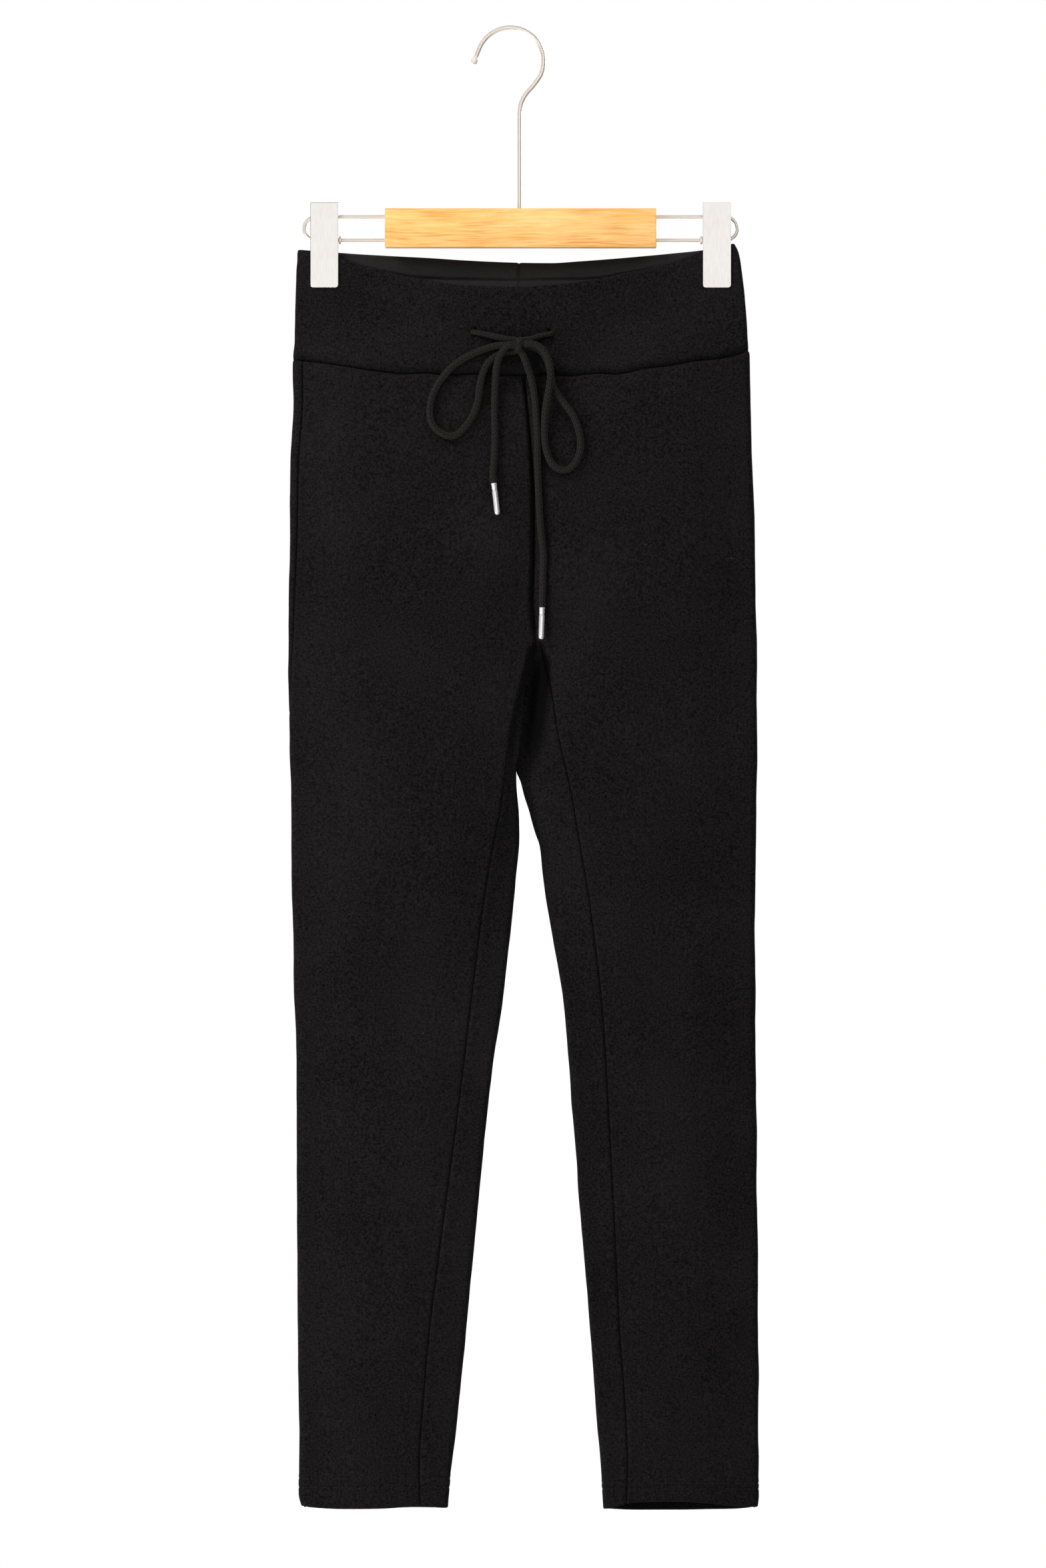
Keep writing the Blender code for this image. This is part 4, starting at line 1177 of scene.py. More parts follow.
def clothGrid(points, normals, thickness, roundness):
    # outer rows, a rounded turn at the last row, and inner rows: one closed loop of rows
    inner = points - normals * thickness[..., None]
    middle = (points[-1] + inner[-1]) / 2
    half = (points[-1] - inner[-1]) / 2
    onward = unit(points[-1] - points[-2])
    reach = np.linalg.norm(half, axis=1, keepdims=True) * roundness
    turns = [
        middle + half * math.cos(a) + onward * (reach * math.sin(a))
        for a in np.linspace(0, math.pi, edgeTurns + 2)[1:-1]
    ]
    return np.concatenate((points, np.array(turns), inner[::-1]))


def addCloth(name, loop, replaced):
    rows, columns = loop.shape[:2]
    faces = gridFaces(rows, columns, closedRows=True)
    for c in (0, columns - 1):
        for i in range(rows // 2 - 1):
            j = rows - 1 - i
            faces.append([i * columns + c, (i + 1) * columns + c, (j - 1) * columns + c, j * columns + c])
    cloth = addMesh(name, loop.reshape(-1, 3), faces, knit)
    shape = bmesh.new()
    shape.from_mesh(cloth.data)
    bmesh.ops.recalc_face_normals(shape, faces=shape.faces)
    shape.to_mesh(cloth.data)
    shape.free()
    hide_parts(replaced)
    return cloth


# Soft troughs (minus) and ridges (plus): ends as x and z, width and height
frontFolds = (
    ((-124, -470), (-126, -640), 13, -0.9),
    ((-148, -262), (-150, -372), 6, 0.5),
    ((-138, -268), (-141, -360), 7, -0.45),
    ((62, -556), (74, -742), 11, -0.8),
    ((-60, -300), (-96, -420), 22, 0.5),
    ((52, -300), (92, -430), 24, 0.55),
    ((120, -480), (132, -700), 20, -0.6),
    ((-90, -520), (-78, -700), 24, 0.6),
    ((-60, -760), (-96, -900), 18, -0.5),
    ((112, -760), (146, -930), 22, 0.6),
    ((-112, -930), (-128, -1060), 18, 0.5),
    ((86, -1010), (80, -1050), 7, -0.7),
    ((106, -980), (122, -1070), 16, -0.45),
    ((-24, -470), (-62, -560), 15, -0.7),
    ((42, -462), (88, -540), 15, -0.6),
    ((4, -262), (12, -350), 9, -0.5),
    ((31, -388), (30, -458), 12, 2.6),
)
backFolds = (
    ((-20, -440), (-84, -512), 15, -1.0),
    ((60, -440), (118, -506), 15, -1.0),
    ((-44, -478), (-110, -556), 17, 0.7),
    ((78, -472), (140, -548), 17, 0.8),
    ((-70, -300), (-100, -400), 26, 0.6),
    ((80, -300), (104, -410), 26, 0.7),
    ((-120, -620), (-96, -760), 18, -0.6),
    ((128, -640), (104, -780), 18, -0.7),
    ((-84, -800), (-128, -812), 12, -0.7),
    ((88, -806), (150, -798), 12, -0.7),
    ((-100, -900), (-112, -1060), 20, 0.5),
    ((120, -900), (132, -1050), 20, 0.5),
)

foldLook = {
    "backShare": 1.5,
    "sway": 0.35,  # as a share of the fold's width
    "swayTurns": 5,
    "reach": 0.42,  # as a share of its length, from its middle
}


def foldRelief(folds, x, z):
    # each fold swells and dies along its length, and sways a little from side to side
    total = np.zeros_like(x)
    for (x0, z0), (x1, z1), width, height in folds:
        length = math.hypot(x1 - x0, z1 - z0)
        along = ((x - x0) * (x1 - x0) + (z - z0) * (z1 - z0)) / length**2
        off = ((x - x0) * (z1 - z0) - (z - z0) * (x1 - x0)) / length
        off = off + width * foldLook["sway"] * np.sin(along * foldLook["swayTurns"] + x0)
        swell = np.exp(-((along - 0.5) / foldLook["reach"]) ** 4)
        total += height * swell * hump(off, width)
    return total


# Puckers are length, stray, size and seed, unevenness is height, size and seed, a groove is depth and
# width, and a swell or a hollow beside a seam or an edge is height, place and width
seamLook = {
    "groove": (2.2, 0.7),
    "inseamGroove": (1.8, 0.6),
    "swell": (0.3, 3, 2.2),
    "facing": 0.15,  # share of the relief that is left where the cloth turns round a fold
    "crotchCalm": 8,  # the seams' own relief dies out this near to the crotch
    "waver": (0.7, 34, 51),  # of the seam under the waistband
    "pucker": 0.2,
    "puckerLength": 7.5,
    "puckerStray": (2.4, 60),
    "puckerReach": 4,
    "leastPull": 0.6,
    "pullSize": 90,
    "pullSeed": 4,  # on top of the seam's own seed
    "outerSeed": 11,
    "innerSeed": 12,
    "hemShade": 0.65,  # painted shade inside an open hem
    "hemShadeTop": 14,
    "hemShadeFade": 6,
}
legLook = {
    "uneven": ((0.35, 70, 3), (0.12, 24, 5)),
    "waistGroove": (4.4, 0.9),
    "waistPucker": 0.25,
    "waistPuckers": (9, 3, 60, 8),
    "waistPuckerReach": 5,
    "sinkStarts": 6,  # under the waist
    "sinkReachLeft": (1.2, 2.2),  # at the waist and at the crotch
    "sinkReachRight": (3, 6.4),  # wider, as the left panel stands over the right one
    "sinkReachBack": 3,
    "sinkDepth": (1.8, 4.0),
    "sinkDepthBack": 0.6,
    "sinkFade": 12,
    "stitchGroove": (0.42, 0.8),
    "stitchWobble": (0.35, 40, 21),
    "hemRaised": 0.4,  # the hem's double cloth
    "hemRaisedFrom": 5,
    "hemRaisedFade": 6,
    "hemPucker": 0.16,
    "hemPuckers": (6.3, 2, 50, 31),
    "hemPuckerFrom": 10,
    "hemPuckerFade": 12,
}
hemLines = {"left": (-1086.6, -1093.4), "right": (-1090, -1094.4)}  # heights of the twin needle's rows


def distancesIn(points):
    # how far each point lies along its row from the row's first and last ones
    steps = np.linalg.norm(np.diff(points, axis=1), axis=2)
    fromFirst = np.concatenate((np.zeros((len(points), 1)), np.cumsum(steps, axis=1)), axis=1)
    return fromFirst, fromFirst[:, -1:] - fromFirst


def facingShare(normals):
    # less relief where the cloth turns round a fold
    return mix(seamLook["facing"], 1, np.abs(normals[..., 1]))


def besideSeam(gap, z, seed, depth, width):
    # the sharp line of a seam, the cloth that swells beside it and its uneven pull
    ripple = puckers(z, seamLook["puckerLength"], *seamLook["puckerStray"], seed)
    least = seamLook["leastPull"]
    uneven = least + (1 - least) * unevenAlong(z, seamLook["pullSize"], seed + seamLook["pullSeed"])
    pull = seamLook["pucker"] * ripple * np.exp(-gap / seamLook["puckerReach"]) * uneven
    return seamGroove(gap, depth, width) + pull + ridge(gap, *seamLook["swell"])


def centreSink(side, fromLast, z, front, nearCrotch):
    # the centre seams sink straight in, deeper towards the crotch
    sinking = ease((waistLevel - legLook["sinkStarts"] - z) / (waistLevel - crotchLevel))
    reach = mix(*legLook[f"sinkReach{sideName(side).capitalize()}"], sinking)
    trough = hump(fromLast, np.where(front, reach, legLook["sinkReachBack"]))
    trough = trough * ease((z - crotchLevel) / legLook["sinkFade"])
    trough *= np.where(front, mix(*legLook["sinkDepth"], sinking), legLook["sinkDepthBack"])
    centre = besideSeam(fromLast, z, seamLook["innerSeed"], *seamLook["groove"])
    return np.where(z < crotchLevel, 0, trough - centre * (1 - nearCrotch))


def hemRelief(label, x, z):
    # the twin needle's two grooves, the double cloth and its puckers
    look = legLook
    height, size, seed = look["stitchWobble"]
    depth, width = look["stitchGroove"]
    relief = 0
    for line in hemLines[label]:
        relief = relief - depth * hump(z - line - height * unevenAlong(x, size, seed), width)
    fromTop = hemLines[label][0] - z
    relief = relief + look["hemRaised"] * ease((fromTop + look["hemRaisedFrom"]) / look["hemRaisedFade"])
    fade = ease((fromTop + look["hemPuckerFrom"]) / look["hemPuckerFade"])
    return relief + look["hemPucker"] * puckers(x, *look["hemPuckers"]) * fade


def legRelief(side, points, normals, front):
    # heights out along the normals, and how far the centre seams sink straight in
    x, z = points[..., 0], points[..., 2]
    nearCrotch = np.exp(-((x - crotchX) ** 2 + (z - crotchLevel) ** 2) / seamLook["crotchCalm"] ** 2)
    facing = facingShare(normals)
    fromFirst, fromLast = distancesIn(points)
    behind = foldLook["backShare"] * foldRelief(backFolds, x, z)
    relief = np.where(front, foldRelief(frontFolds, x, z), behind)
    relief += sum(height * waves(x, z, size, seed) for height, size, seed in legLook["uneven"])
    relief += besideSeam(fromFirst, z, seamLook["outerSeed"], *seamLook["groove"]) * facing
    inseam = besideSeam(fromLast, z, seamLook["innerSeed"], *seamLook["inseamGroove"])
    relief += np.where(z < crotchLevel, inseam * facing, 0)
    belowWaist = points[:1, :, 2] - z
    relief += seamGroove(belowWaist, *legLook["waistGroove"]) * facing
    waistPuckers = legLook["waistPucker"] * puckers(x, *legLook["waistPuckers"])
    relief += waistPuckers * np.exp(-belowWaist / legLook["waistPuckerReach"]) * facing
    relief += hemRelief(sideName(side), x, z)
    return relief * (1 - nearCrotch), centreSink(side, fromLast, z, front, nearCrotch)


smoothing = {"rounds": 24, "height": 16, "edge": 4}  # of the panels' depth past the crotch


def smoothPastCrotch(points):
    blur = hump(legRows() - crotchLevel, smoothing["height"])[:, None]
    blur = blur * (1 - hump(np.minimum(*distancesIn(points)), smoothing["edge"]))
    for _ in range(smoothing["rounds"]):
        softened = points[..., 1].copy()
        softened[1:-1] = (points[:-2, :, 1] + points[2:, :, 1] + 2 * points[1:-1, :, 1]) / 4
        points[..., 1] = mix(points[..., 1], softened, blur)


def legPanel(side, columnsOf, sign):
    # dark gathers the painted shade of each row
    rows, facing, dark = [], [], []
    for row, z in enumerate(legRows()):
        at = legLevel(side, z)
        fromOuter, s = columnsOf(at, side)
        x, y, front, paintedShade = legSection(at, side, fromOuter, s)
        height = legHeight(x, z, front) - (seamGap / 2 if row == 0 else 0)
        rows.append(np.column_stack((x, y, height)))
        facing.append(front)
        dark.append(paintedShade)
    points, front = np.array(rows), np.array(facing)
    smoothPastCrotch(points)
    normals = outwardNormals(points, sign)
    relief, sunk = legRelief(side, points, normals, front)
    points = points + normals * relief[..., None]
    points[..., 1] += np.where(front, sunk, -sunk)
    thickness = mix(wall["leg"], wall["hem"], ease((hemTop - points[..., 2]) / wall["hemFade"]))
    return points, outwardNormals(points, sign), thickness, np.array(dark)


def rowAtHeight(points, normals, height):
    # the line on the cloth at this height, one point for each column
    line, facing = [], []
    for c in range(points.shape[1]):
        place = np.interp(-height, -points[:, c, 2], np.arange(len(points)))
        low = min(int(place), len(points) - 2)
        share = place - low
        line.append(mix(points[low, c], points[low + 1, c], share))
        facing.append(mix(normals[low, c], normals[low + 1, c], share))
    return np.array(line), np.array(facing)


stitchLook = {
    "length": 2.7,
    "gap": 0.65,
    "radius": 0.22,
    "first": 1.2,  # from the seam
    "points": 6,
    "proud": 0.04,
    "sink": 0.55,  # at a stitch's ends
    "endThin": 0.35,
    "unsteady": 0.05,
}


def stitchesAlong(line, facing):
    look = stitchLook
    lengths = lengthsAlong(line)
    chance = np.random.default_rng(len(line))
    pitch = look["length"] + look["gap"]
    share = np.linspace(0, 1, look["points"])
    made = []
    for start in np.arange(look["first"], lengths[-1] - pitch, pitch):
        at = start + share * look["length"]
        centre, out = (
            np.column_stack([np.interp(at, lengths, values[:, axis]) for axis in range(3)])
            for values in (line, facing)
        )
        rise = look["proud"] - look["sink"] * (2 * share - 1) ** 4
        centre = centre + out * rise[:, None]
        centre[:, 2] += chance.normal(0, look["unsteady"]) * np.ones(look["points"])
        made.append((centre, look["radius"] * (1 - look["endThin"] * (2 * share - 1) ** 2)))
    return made


def addLeg(side):
    label = sideName(side)
    title = label.capitalize()
    needleRows = []
    for face, columnsOf, sign in (("front", frontColumns, -side), ("back", backColumns, side)):
        points, normals, thickness, dark = legPanel(side, columnsOf, sign)
        loop = clothGrid(points, normals, thickness, edgeRound["leg"])
        cloth = addCloth(f"{face}{title}Cloth", loop, f"leg_{face}_{label}")
        # painted shade: below the crotch, and on the inner skin also inside the hem
        overHem = points[..., 2] - hemLevel
        shade = seamLook["hemShade"] * ease((seamLook["hemShadeTop"] - overHem) / seamLook["hemShadeFade"])
        inside = np.maximum(dark, shade)
        paintedShade = np.concatenate((dark, np.repeat(dark[-1:], edgeTurns, axis=0), inside[::-1]))
        storeShade(cloth, "paintedShade", paintedShade.ravel())
        for height in hemLines[label]:
            needleRows += stitchesAlong(*rowAtHeight(points, normals, height))
    stitches = addThreads(f"hemStitches{title}", needleRows, thread)
    print(f"{label} leg made")


band = {
    "proud": 0.5,
    "pinchedRadius": 3.2,
    "turned": 7,  # just past the turn of the fold, along the cloth
    "pinchedWidth": 33,
    "mouthReach": 105,
    "mouthFront": 13,
    "mouthBack": 10.5,
    "opens": 0.42,  # share of its height where the clips no longer pinch it
    "edgeDrop": 0.3,  # the last row lies this far under the line of the top edge
    "topRows": (0, 0.007, 0.016, 0.028, 0.043, 0.06),  # shares of its height, from the top
    "midRows": (0.078, 0.94, 64),
    "seamRows": (0.952, 0.963, 0.973, 0.982, 0.99, 0.996, 1),
    "turn": 14,  # the columns from here to the fold are closer together
    "turnColumns": 26,
    "backColumns": 62,
    "frontColumns": 44,
    "bowFrom": 52,  # and so are those behind the bow
    "bowColumns": 46,
    "flat": (0.692, 0.084),  # metres all round, and square metres
    "area": 0.0525,
}
bandLook = {
    "seamGroove": (4.4, 2.8),
    "seamSwell": (0.75, 6, 5),
    "pucker": 0.22,
    "puckers": (11, 3, 70, 41),
    "puckerReach": 7,
    "uneven": (0.35, 55, 42),
    "unevenFade": 12,  # under the top edge
    "fineUneven": (0.1, 18, 43),
    "edgeSwell": (0.35, 3, 3),
    "edgeHollow": (0.3, 9, 4),
    "edgeHollowBack": 0.4,  # share of it behind
    "centreGroove": (0.9, 0.7),
    "pullPlaces": ((4, 0.35), (-5, -0.3)),  # the pull from hole to hole: offsets and heights
    "pullLevel": 229,
    "pullMiddle": 1,
    "pullSize": (42, 4),
    "creaseDepth": 2.3,
    "creaseTurn": (0.5, 1.0),
    "creaseReach": 3.5,
    "creaseMiddle": 8,
    "creaseEnds": (150, 20),
    "creaseLeast": 0.6,
    "creaseFull": 60,
}
buttonholes = ((-26.4, -226.6), (28.9, -228.2))
buttonholeLook = {
    "halfWidth": 1.3,
    "halfHeight": 4.4,
    "bars": 44,
    "barLength": 1.1,
    "barSpread": (1.4, 0.8),
    "barPoints": 5,
    "barProud": 0.05,
    "nearest": 4,  # points of the cloth that a thread's place is worked out from
    "leastAway": 0.05,
    "barSink": 0.4,
    "radius": 0.19,
    "slitDepth": 3.2,
    "slit": (1.6, 3.8),
    "dent": 0.6,
    "dentWidth": 7,
    "rays": 5,
    "rayHeight": 0.32,
    "rayPlace": (6, 4.5),
    "squash": 0.8,
}

insideCrease = nameColumns(
    "x z",
    (-127, -171.7),
    (-108.5, -178.2),
    (-86, -182.7),
    (-67.5, -185.2),
    (-40, -186),
    (-4.5, -186.7),
    (38, -186.2),
    (62, -185.7),
    (80, -183.2),
    (99, -179.7),
    (123, -174.7),
    (142, -168),
)


def bandSection(side, s, v):
    # a row of the band's outer skin, from its top where v is 0 to the waist seam where v is 1
    label = sideName(side)
    front = s > 0
    seamEdge = readAt(outline, label, waistLevel)
    corner = readAt(bandTop, "front", math.inf * side)
    sideZ = mix(corner, float(waistLine(seamEdge, True)), v)
    opened = float(ease((v - band["opens"]) / (1 - band["opens"])))
    radius = mix(band["pinchedRadius"], foldRadius + band["proud"], opened)
    fromFold = arcToDistance(s)
    turned = radius * (1 - np.cos(np.minimum(np.abs(s), band["turned"]) / foldRadius))
    d = np.where(fromFold < foldRadius, turned, fromFold + radius - foldRadius)
    middle = np.where(front, *bothFaces(centreSeam, waistLevel))
    nearFold = 1 - ease(fromFold / np.abs(middle - seamEdge))
    drift = readAt(outline, label, sideZ) - seamEdge + side * band["proud"] * opened
    x = seamEdge + drift * nearFold - side * mix(fromFold, d, nearFold)
    mouth = np.where(front, band["mouthFront"], band["mouthBack"])
    depth = np.where(front, *bothFaces(halfDepth, waistLevel))
    depth = mix(mouth, depth + band["proud"], float(ease(v)))
    start, reach = mix(band["pinchedWidth"], radius, opened), mix(band["mouthReach"], riseWidth, opened)
    return x, garmentY - np.where(front, 1, -1) * bulge(d, radius, start, reach, depth), front


def bandColumns(side):
    # places along one half of the band, from the centre back by the fold to the centre front
    outer = readAt(outline, sideName(side), waistLevel)
    toFront, toBack = (distanceToArc(abs(middle - outer)) for middle in bothFaces(centreSeam, waistLevel))
    toBack -= seamGap / 2
    turn, bow = band["turn"], toFront - band["bowFrom"]
    return np.concatenate((
        -toBack + nearSeam, spaced(-toBack + clearOf["seam"], -turn, band["backColumns"]),
        spaced(-turn, turn, band["turnColumns"]), spaced(turn, bow, band["frontColumns"]),
        spaced(bow, toFront, band["bowColumns"]), [toFront],
    ))


def fromCentreBack(x, front):
    farOff = 99  # on the front there is no such seam
    return np.minimum(np.abs(x - x[:, :1]), np.abs(x - x[:, -1:])) + np.where(front, farOff, 0)


def buttonholeRelief(x, z):
    # a slit that sinks in, a dent round it and the puckers that run from it
    look = buttonholeLook
    total = []
    for holeX, holeZ in buttonholes:
        dx, dz = x - holeX, z - holeZ
        away = np.hypot(dx, dz * look["squash"])
        slitX, slitZ = look["slit"]
        slit = -look["slitDepth"] * np.exp(-((dx / slitX) ** 2) - (dz / slitZ) ** 4)
        dent = slit - look["dent"] * hump(away, look["dentWidth"])
        rays = look["rayHeight"] * np.cos(look["rays"] * np.arctan2(dz, dx) + holeX)
        total.append(dent + rays * ridge(away, 1, *look["rayPlace"]))
    return total


def bandRelief(points, normals, front):
    look = bandLook
    x, z = points[..., 0], points[..., 2]
    facing = facingShare(normals)
    above, below = z - waistLine(x, front), onFace(bandTop, x, front) - z
    relief = seamGroove(above, *look["seamGroove"]) * facing + ridge(above, *look["seamSwell"]) * facing
    relief += look["pucker"] * puckers(x, *look["puckers"]) * np.exp(-above / look["puckerReach"]) * facing
    (height, size, seed), (fineHeight, fineSize, fineSeed) = look["uneven"], look["fineUneven"]
    soft = height * waves(x, z, size, seed) * ease(below / look["unevenFade"])
    relief += soft + fineHeight * waves(x, z, fineSize, fineSeed)
    relief += ridge(below, *look["edgeSwell"])
    relief -= ridge(below, *look["edgeHollow"]) * np.where(front, 1, look["edgeHollowBack"])
    relief += seamGroove(fromCentreBack(x, front), *look["centreGroove"])
    for dent in buttonholeRelief(x, z):
        relief += np.where(front, dent, 0)
    pullX, pullZ = look["pullSize"]
    for offset, height in look["pullPlaces"]:
        lying = ((z + look["pullLevel"] - offset) / pullZ) ** 2
        relief += np.where(front, height * np.exp(-lying - ((x - look["pullMiddle"]) / pullX) ** 4), 0)
    return relief


def addCrease(inner, normals, front):
    # a crease inside the back of the band, which fades at both ends and towards its middle
    look = bandLook
    below = readCurve(insideCrease, "z", inner[..., 0]) - inner[..., 2]
    start, turn = look["creaseTurn"]
    crease = ease((below + start) / turn) * np.exp(-np.maximum(below, 0) / look["creaseReach"])
    fromMiddle = np.abs(inner[..., 0] - look["creaseMiddle"])
    end, fade = look["creaseEnds"]
    least = look["creaseLeast"]
    strength = ease((end - fromMiddle) / fade) * (least + (1 - least) * ease(fromMiddle / look["creaseFull"]))
    inner += normals * (look["creaseDepth"] * crease * strength * ~front)[..., None]


def addBand():
    rows, facing = [], []
    leftColumns, rightColumns = bandColumns(left), bandColumns(right)[::-1][1:]
    shares = np.concatenate((band["topRows"], np.linspace(*band["midRows"]), band["seamRows"]))
    for v in shares[::-1]:
        halves = [bandSection(left, leftColumns, v), bandSection(right, rightColumns, v)]
        x, y, front = (np.concatenate(pair) for pair in zip(*halves))
        top = onFace(bandTop, x, front) - band["edgeDrop"]
        bottom = waistLine(x, front) + seamGap / 2
        rows.append(np.column_stack((x, y, mix(top, bottom, v))))
        facing.append(front)
    points, front = np.array(rows), np.array(facing)
    normals = outwardNormals(points, -1)
    points = points + normals * bandRelief(points, normals, front)[..., None]
    normals = outwardNormals(points, -1)
    depth, width = bandLook["centreGroove"]
    pinched = seamGroove(fromCentreBack(points[..., 0], front), 2 * depth, width)
    loop = clothGrid(points, normals, wall["band"] + pinched, edgeRound["band"])
    addCrease(loop[len(points) + edgeTurns:][::-1], normals, front)
    cloth = addCloth("bandCloth", loop, "waistband")
    # painted light on the inside of the band's back and round its top edge
    edge = np.repeat(~front[:1], edgeTurns, axis=0)
    paintedLightInside = np.concatenate((np.zeros(front.shape), edge, ~front[::-1]))
    storeShade(cloth, "paintedLightInside", paintedLightInside.astype(float).ravel())
    holes = addButtonholes(points, normals, front)
    print("waistband made")


def addButtonholes(points, normals, front):
    # dense bars of thread round each upright slit, laid on the cloth
    look = buttonholeLook
    flatPoints, flatNormals = points[front], normals[front]
    bars = []
    for holeX, holeZ in buttonholes:
        for turn in np.linspace(0, 2 * math.pi, look["bars"], endpoint=False):
            out = np.array((math.cos(turn), math.sin(turn)))
            edge = np.array((holeX, holeZ)) + out * (look["halfWidth"], look["halfHeight"])
            away = unit(out * look["barSpread"])
            line = []
            for share in np.linspace(0, 1, look["barPoints"]):
                x, z = edge + away * look["barLength"] * share
                distances = np.hypot(flatPoints[:, 0] - x, flatPoints[:, 2] - z)
                near = np.argsort(distances)[:look["nearest"]]
                weight = 1 / (distances[near] + look["leastAway"])
                y = (flatPoints[near, 1] * weight).sum() / weight.sum()
                rise = look["barProud"] - look["barSink"] * (2 * share - 1) ** 4
                line.append(np.array((x, y, z)) + flatNormals[near[0]] * rise)
            bars.append((np.array(line), look["radius"]))
    return addThreads("buttonholeThread", bars, thread)


hook = {
    "wire": 3.2,
    "inside": 23.4,
    "start": 158.3,  # degrees round the arc, from its open end to the neck
    "end": -28,
    "arcPoints": 26,
    "lead": 8,  # straight, from the arc to the tip
    "neck": ((17.2, -42), (12.2, -47.6), (8.7, -53.6), (7.2, -60), (7, -67)),
    "stemX": 7,
    "stem": (-75, -85, -100, -120),
    "seat": 15,  # how deep the stem goes into the block
    "step": 1.2,
    "sides": 28,
}
hookTipProfile = (  # distance from the wire's end, and radius
    (-1.6, 1.7), (0.3, 1.75), (0.32, 2.2), (0.5, 2.42), (0.9, 2.5), (2.4, 2.5), (3.3, 2.36), (3.9, 1.95),
    (4.2, 1.3), (4.3, 0.5),
)
rails = {
    "wire": 2.5,
    "upper": -140.2,
    "lower": -157.7,
    "left": -154.75,
    "right": 170.25,
    "turnPoints": 25,
    "sides": 24,
}
blockTop = -134.2
pressedEdges = {"clip": 0.38, "collar": 0.3, "segments": 3, "sharpOver": 50, "smoothUnder": 55}
mending = {"apart": 0.005, "flat": 1}  # closer corners are joined, and flatter edges (degrees) dissolved


def addHook():
    radius = hook["inside"] + hook["wire"] / 2
    turns = np.radians(np.linspace(hook["start"], hook["end"], hook["arcPoints"]))
    arc = [(radius * math.cos(a), 0, -hook["inside"] + radius * math.sin(a)) for a in turns]
    onward = np.array((-math.sin(turns[0]), 0, math.cos(turns[0])))
    end = arc[0] + onward * hook["lead"]
    neck = [(x, 0, z) for x, z in hook["neck"]]
    stem = [(hook["stemX"], 0, z) for z in (*hook["stem"], blockTop, blockTop - hook["seat"])]
    line = smoothLine([end, *arc, *neck, *stem], hook["step"])
    wire = addTube("hookWire", line, hook["wire"] / 2, hook["sides"], wireMetal)
    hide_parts("hook")
    along, reach = np.array(hookTipProfile).T
    tip = addTube("hookTip", end + onward * along[:, None], reach, hook["sides"], rubber)
    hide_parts("hook_tip")


def addRails():
    radius = (rails["upper"] - rails["lower"]) / 2
    middle = (rails["upper"] + rails["lower"]) / 2
    line = []
    for centreX, first in ((rails["right"] - radius, 90), (rails["left"] + radius, 270)):
        for a in np.radians(np.linspace(first, first - 180, rails["turnPoints"])):
            line.append((centreX + radius * math.cos(a), garmentY, middle + radius * math.sin(a)))
    wire = addTube(
        "railWire", np.array(line), rails["wire"] / 2, rails["sides"], wireMetal, closed=True
    )
    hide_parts("rail_frame")


def addRounded(name, node, surface, bevel):
    # the frame's own part, with its pressed edges rounded where a bevel is given
    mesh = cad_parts[node].data.copy()
    mesh.name = name
    shape = bmesh.new()
    shape.from_mesh(mesh)
    flat = math.radians(mending["flat"])
    bmesh.ops.remove_doubles(shape, verts=shape.verts, dist=mending["apart"] * mm)
    bmesh.ops.dissolve_limit(shape, angle_limit=flat, verts=shape.verts, edges=shape.edges)
    shape.to_mesh(mesh)
    shape.free()
    mesh.materials.clear()
    mesh.materials.append(surface)
    piece = addPiece(bpy.data.objects.new(name, mesh))
    if bevel:
        rounded = piece.modifiers.new("rounded", "BEVEL")
        rounded.width = bevel * mm
        rounded.segments = pressedEdges["segments"]
        rounded.limit_method = "ANGLE"
        rounded.angle_limit = math.radians(pressedEdges["sharpOver"])
        rounded.harden_normals = False
    mesh.shade_smooth()
    mesh.set_sharp_from_angle(angle=math.radians(pressedEdges["smoothUnder"]))
    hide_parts(node)
    return piece


def addHanger():
    addHook()
    addRails()
    addRounded("woodBlock", "hanger_block", wood, 0)
    for label in ("left", "right"):
        title = label.capitalize()
        for face in ("front", "back"):
            name = f"clip{face.capitalize()}{title}"
            addRounded(name, f"clip_{face}_{label}", sheetMetal, pressedEdges["clip"])
        addRounded(f"railCollar{title}", f"collar_{label}", wireMetal, pressedEdges["collar"])
    print("hanger made")


studio = {
    "floorDrop": 350,  # below the hems
    "floorSize": 3.0,  # metres
    "floorSides": 96,
    "aim": (0.01, 0, -0.55),
    "lamps": {  # place and size in metres, and power in watts
        "keyLight": ((-1.05, -0.85, 0.75), 0.6, 22),
        "topLight": ((0.55, -0.6, 0.4), 0.5, 5.5),
        "lowLight": ((-0.85, -0.65, -0.95), 0.6, 6.6),
        "fillLight": ((2.1, -2.0, -0.9), 1.8, 0.5),
        "backLight": ((1.1, 1.4, 0.25), 0.8, 26),
        "backLowLight": ((-0.9, 1.5, -1.1), 0.9, 15),
    },
    "glareFree": ("keyLight", "topLight"),  # these would glare on the wires
    "wall": (0.93, 0.975, 1.0),  # behind the garment: where it fades in and is full, and its brightness
    "softbox": (-0.86, -0.95, 1.07),  # round the camera
    "upLeft": (-0.65, 0.75),  # the room is brightest up on the left
    "roomRange": (-0.8, 0.9, 0.02, 0.34),
}
floorLook = {
    "pale": (0.90, 0.90, 0.895),
    "grey": (0.84, 0.84, 0.84),
    "clouds": (180, 3),
    "shader": {"Roughness": 0.6, "Specular IOR Level": 0.2},
}


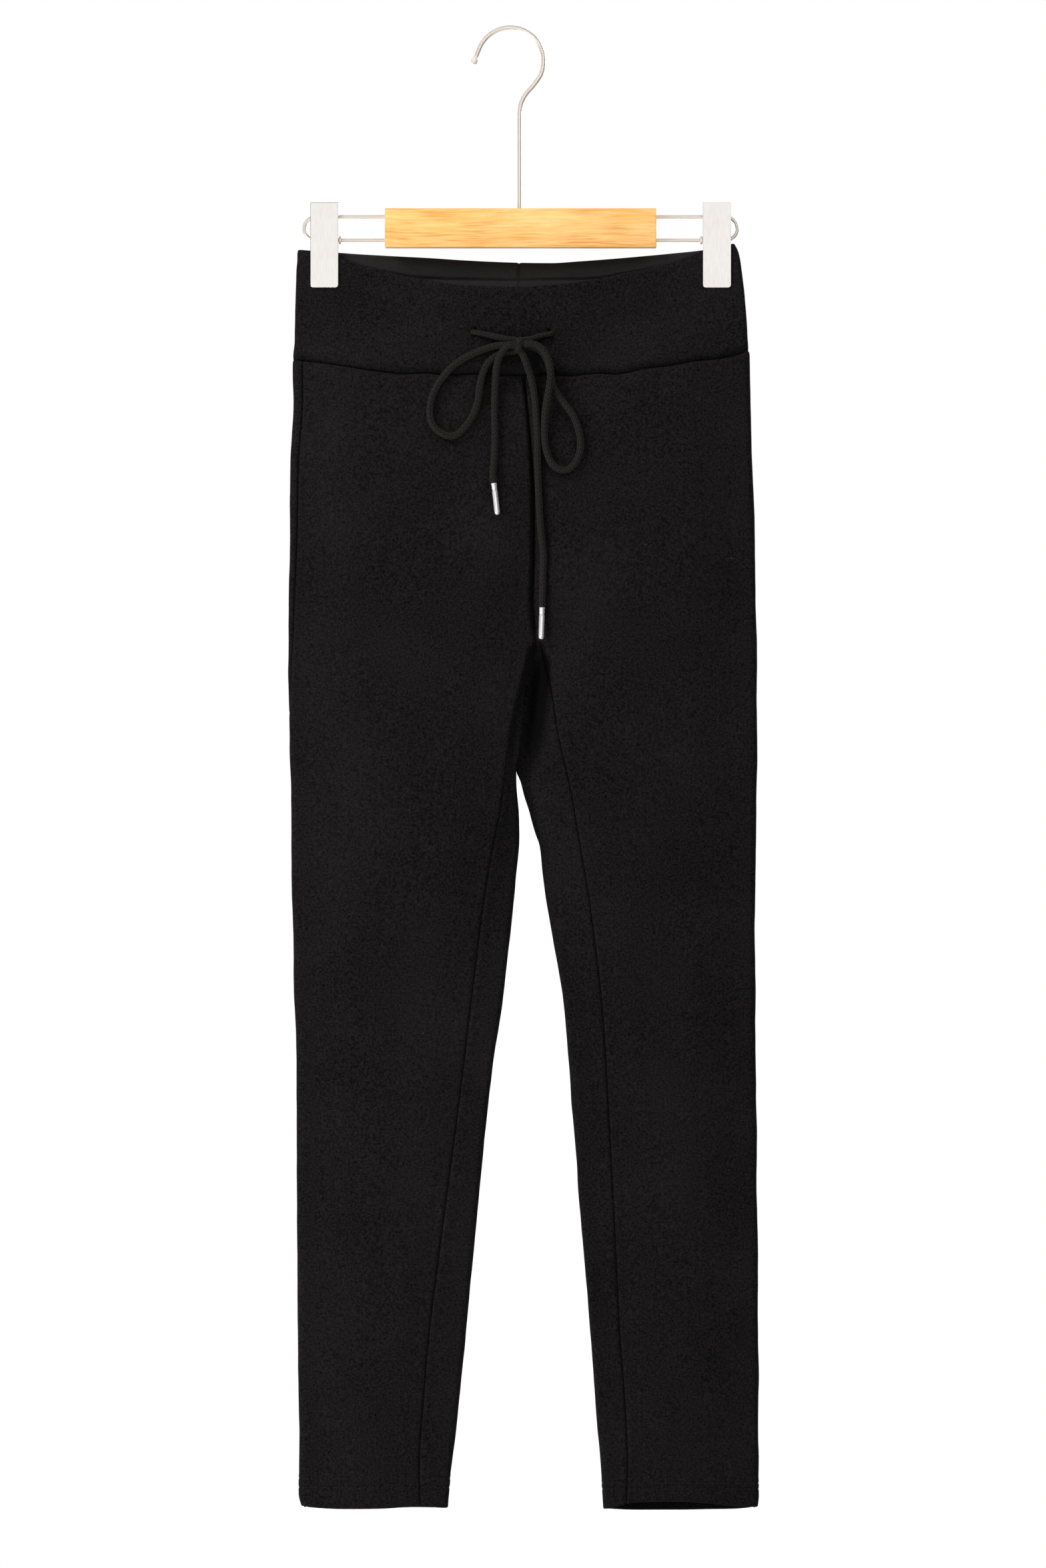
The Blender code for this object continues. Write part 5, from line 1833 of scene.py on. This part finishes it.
def addFloor():
    bpy.ops.mesh.primitive_circle_add(
        vertices=studio["floorSides"], radius=studio["floorSize"] / 2, fill_type="NGON",
        location=(0, 0, cadLow.z - studio["floorDrop"] * mm),
    )
    floor = bpy.context.object
    floor.name = "floor"
    surface, nodes, shader = newMaterial("paleFloor", floorLook["pale"], floorLook)
    cloudy = noise(nodes, *floorLook["clouds"])
    finishSurface(nodes, shader, blendColours(nodes, cloudy, floorLook["grey"], floorLook["pale"]))
    floor.data.materials.append(surface)


def addLamps():
    for name, (place, size, power) in studio["lamps"].items():
        lamp = bpy.data.lights.new(name, "AREA")
        lamp.size = size
        lamp.energy = power
        lampObject = bpy.data.objects.new(name, lamp)
        lampObject.location = place
        aim = np.array(studio["aim"]) - np.array(place)
        pitch = math.atan2(math.hypot(aim[0], aim[1]), -aim[2])
        lampObject.rotation_euler = (pitch, 0, math.atan2(aim[1], aim[0]) - math.pi / 2)
        lampObject.visible_camera = False
        lampObject.visible_glossy = name not in studio["glareFree"]
        bpy.context.scene.collection.objects.link(lampObject)


def addRoom():
    # a dim room with a white wall behind the garment and a soft box round the camera
    world = bpy.data.worlds.new("studio")
    bpy.context.scene.world = world
    world.use_nodes = True
    nodes = world.node_tree
    background = nodes.nodes["Background"]
    where = addNode(nodes, "ShaderNodeTexCoord").outputs["Generated"]
    split = addNode(nodes, "ShaderNodeSeparateXYZ", links={"Vector": where}).outputs
    acrossShare, upShare = studio["upLeft"]
    upLeft = timesPlus(nodes, split["X"], acrossShare, times(nodes, split["Z"], upShare))
    strength = mapRange(nodes, upLeft, *studio["roomRange"])
    for name in ("wall", "softbox"):
        low, high, brightness = studio[name]
        share = mapRange(nodes, split["Y"], low, high)
        rest = times(nodes, strength, minus(nodes, 1.0, share))
        strength = timesPlus(nodes, share, brightness, rest)
    background.inputs["Color"].default_value = (1, 1, 1, 1)
    nodes.links.new(strength, background.inputs["Strength"])


def addStudio():
    addFloor()
    addLamps()
    addRoom()
    bpy.context.scene.view_settings.view_transform = "Standard"
    print("studio lit")


addCamera()
knot = addKnot()
tipLeft = addAglet("left", leftTail)
tipRight = addAglet("right", rightTail)
addDrawstring("left", leftStrand, leftLoop, leftTail, leftInKnot)
addDrawstring("right", rightStrand, rightLoop, rightTail, rightInKnot)
print("drawstring made")
addBand()
addLeg(left)
addLeg(right)
addHanger()
addStudio()
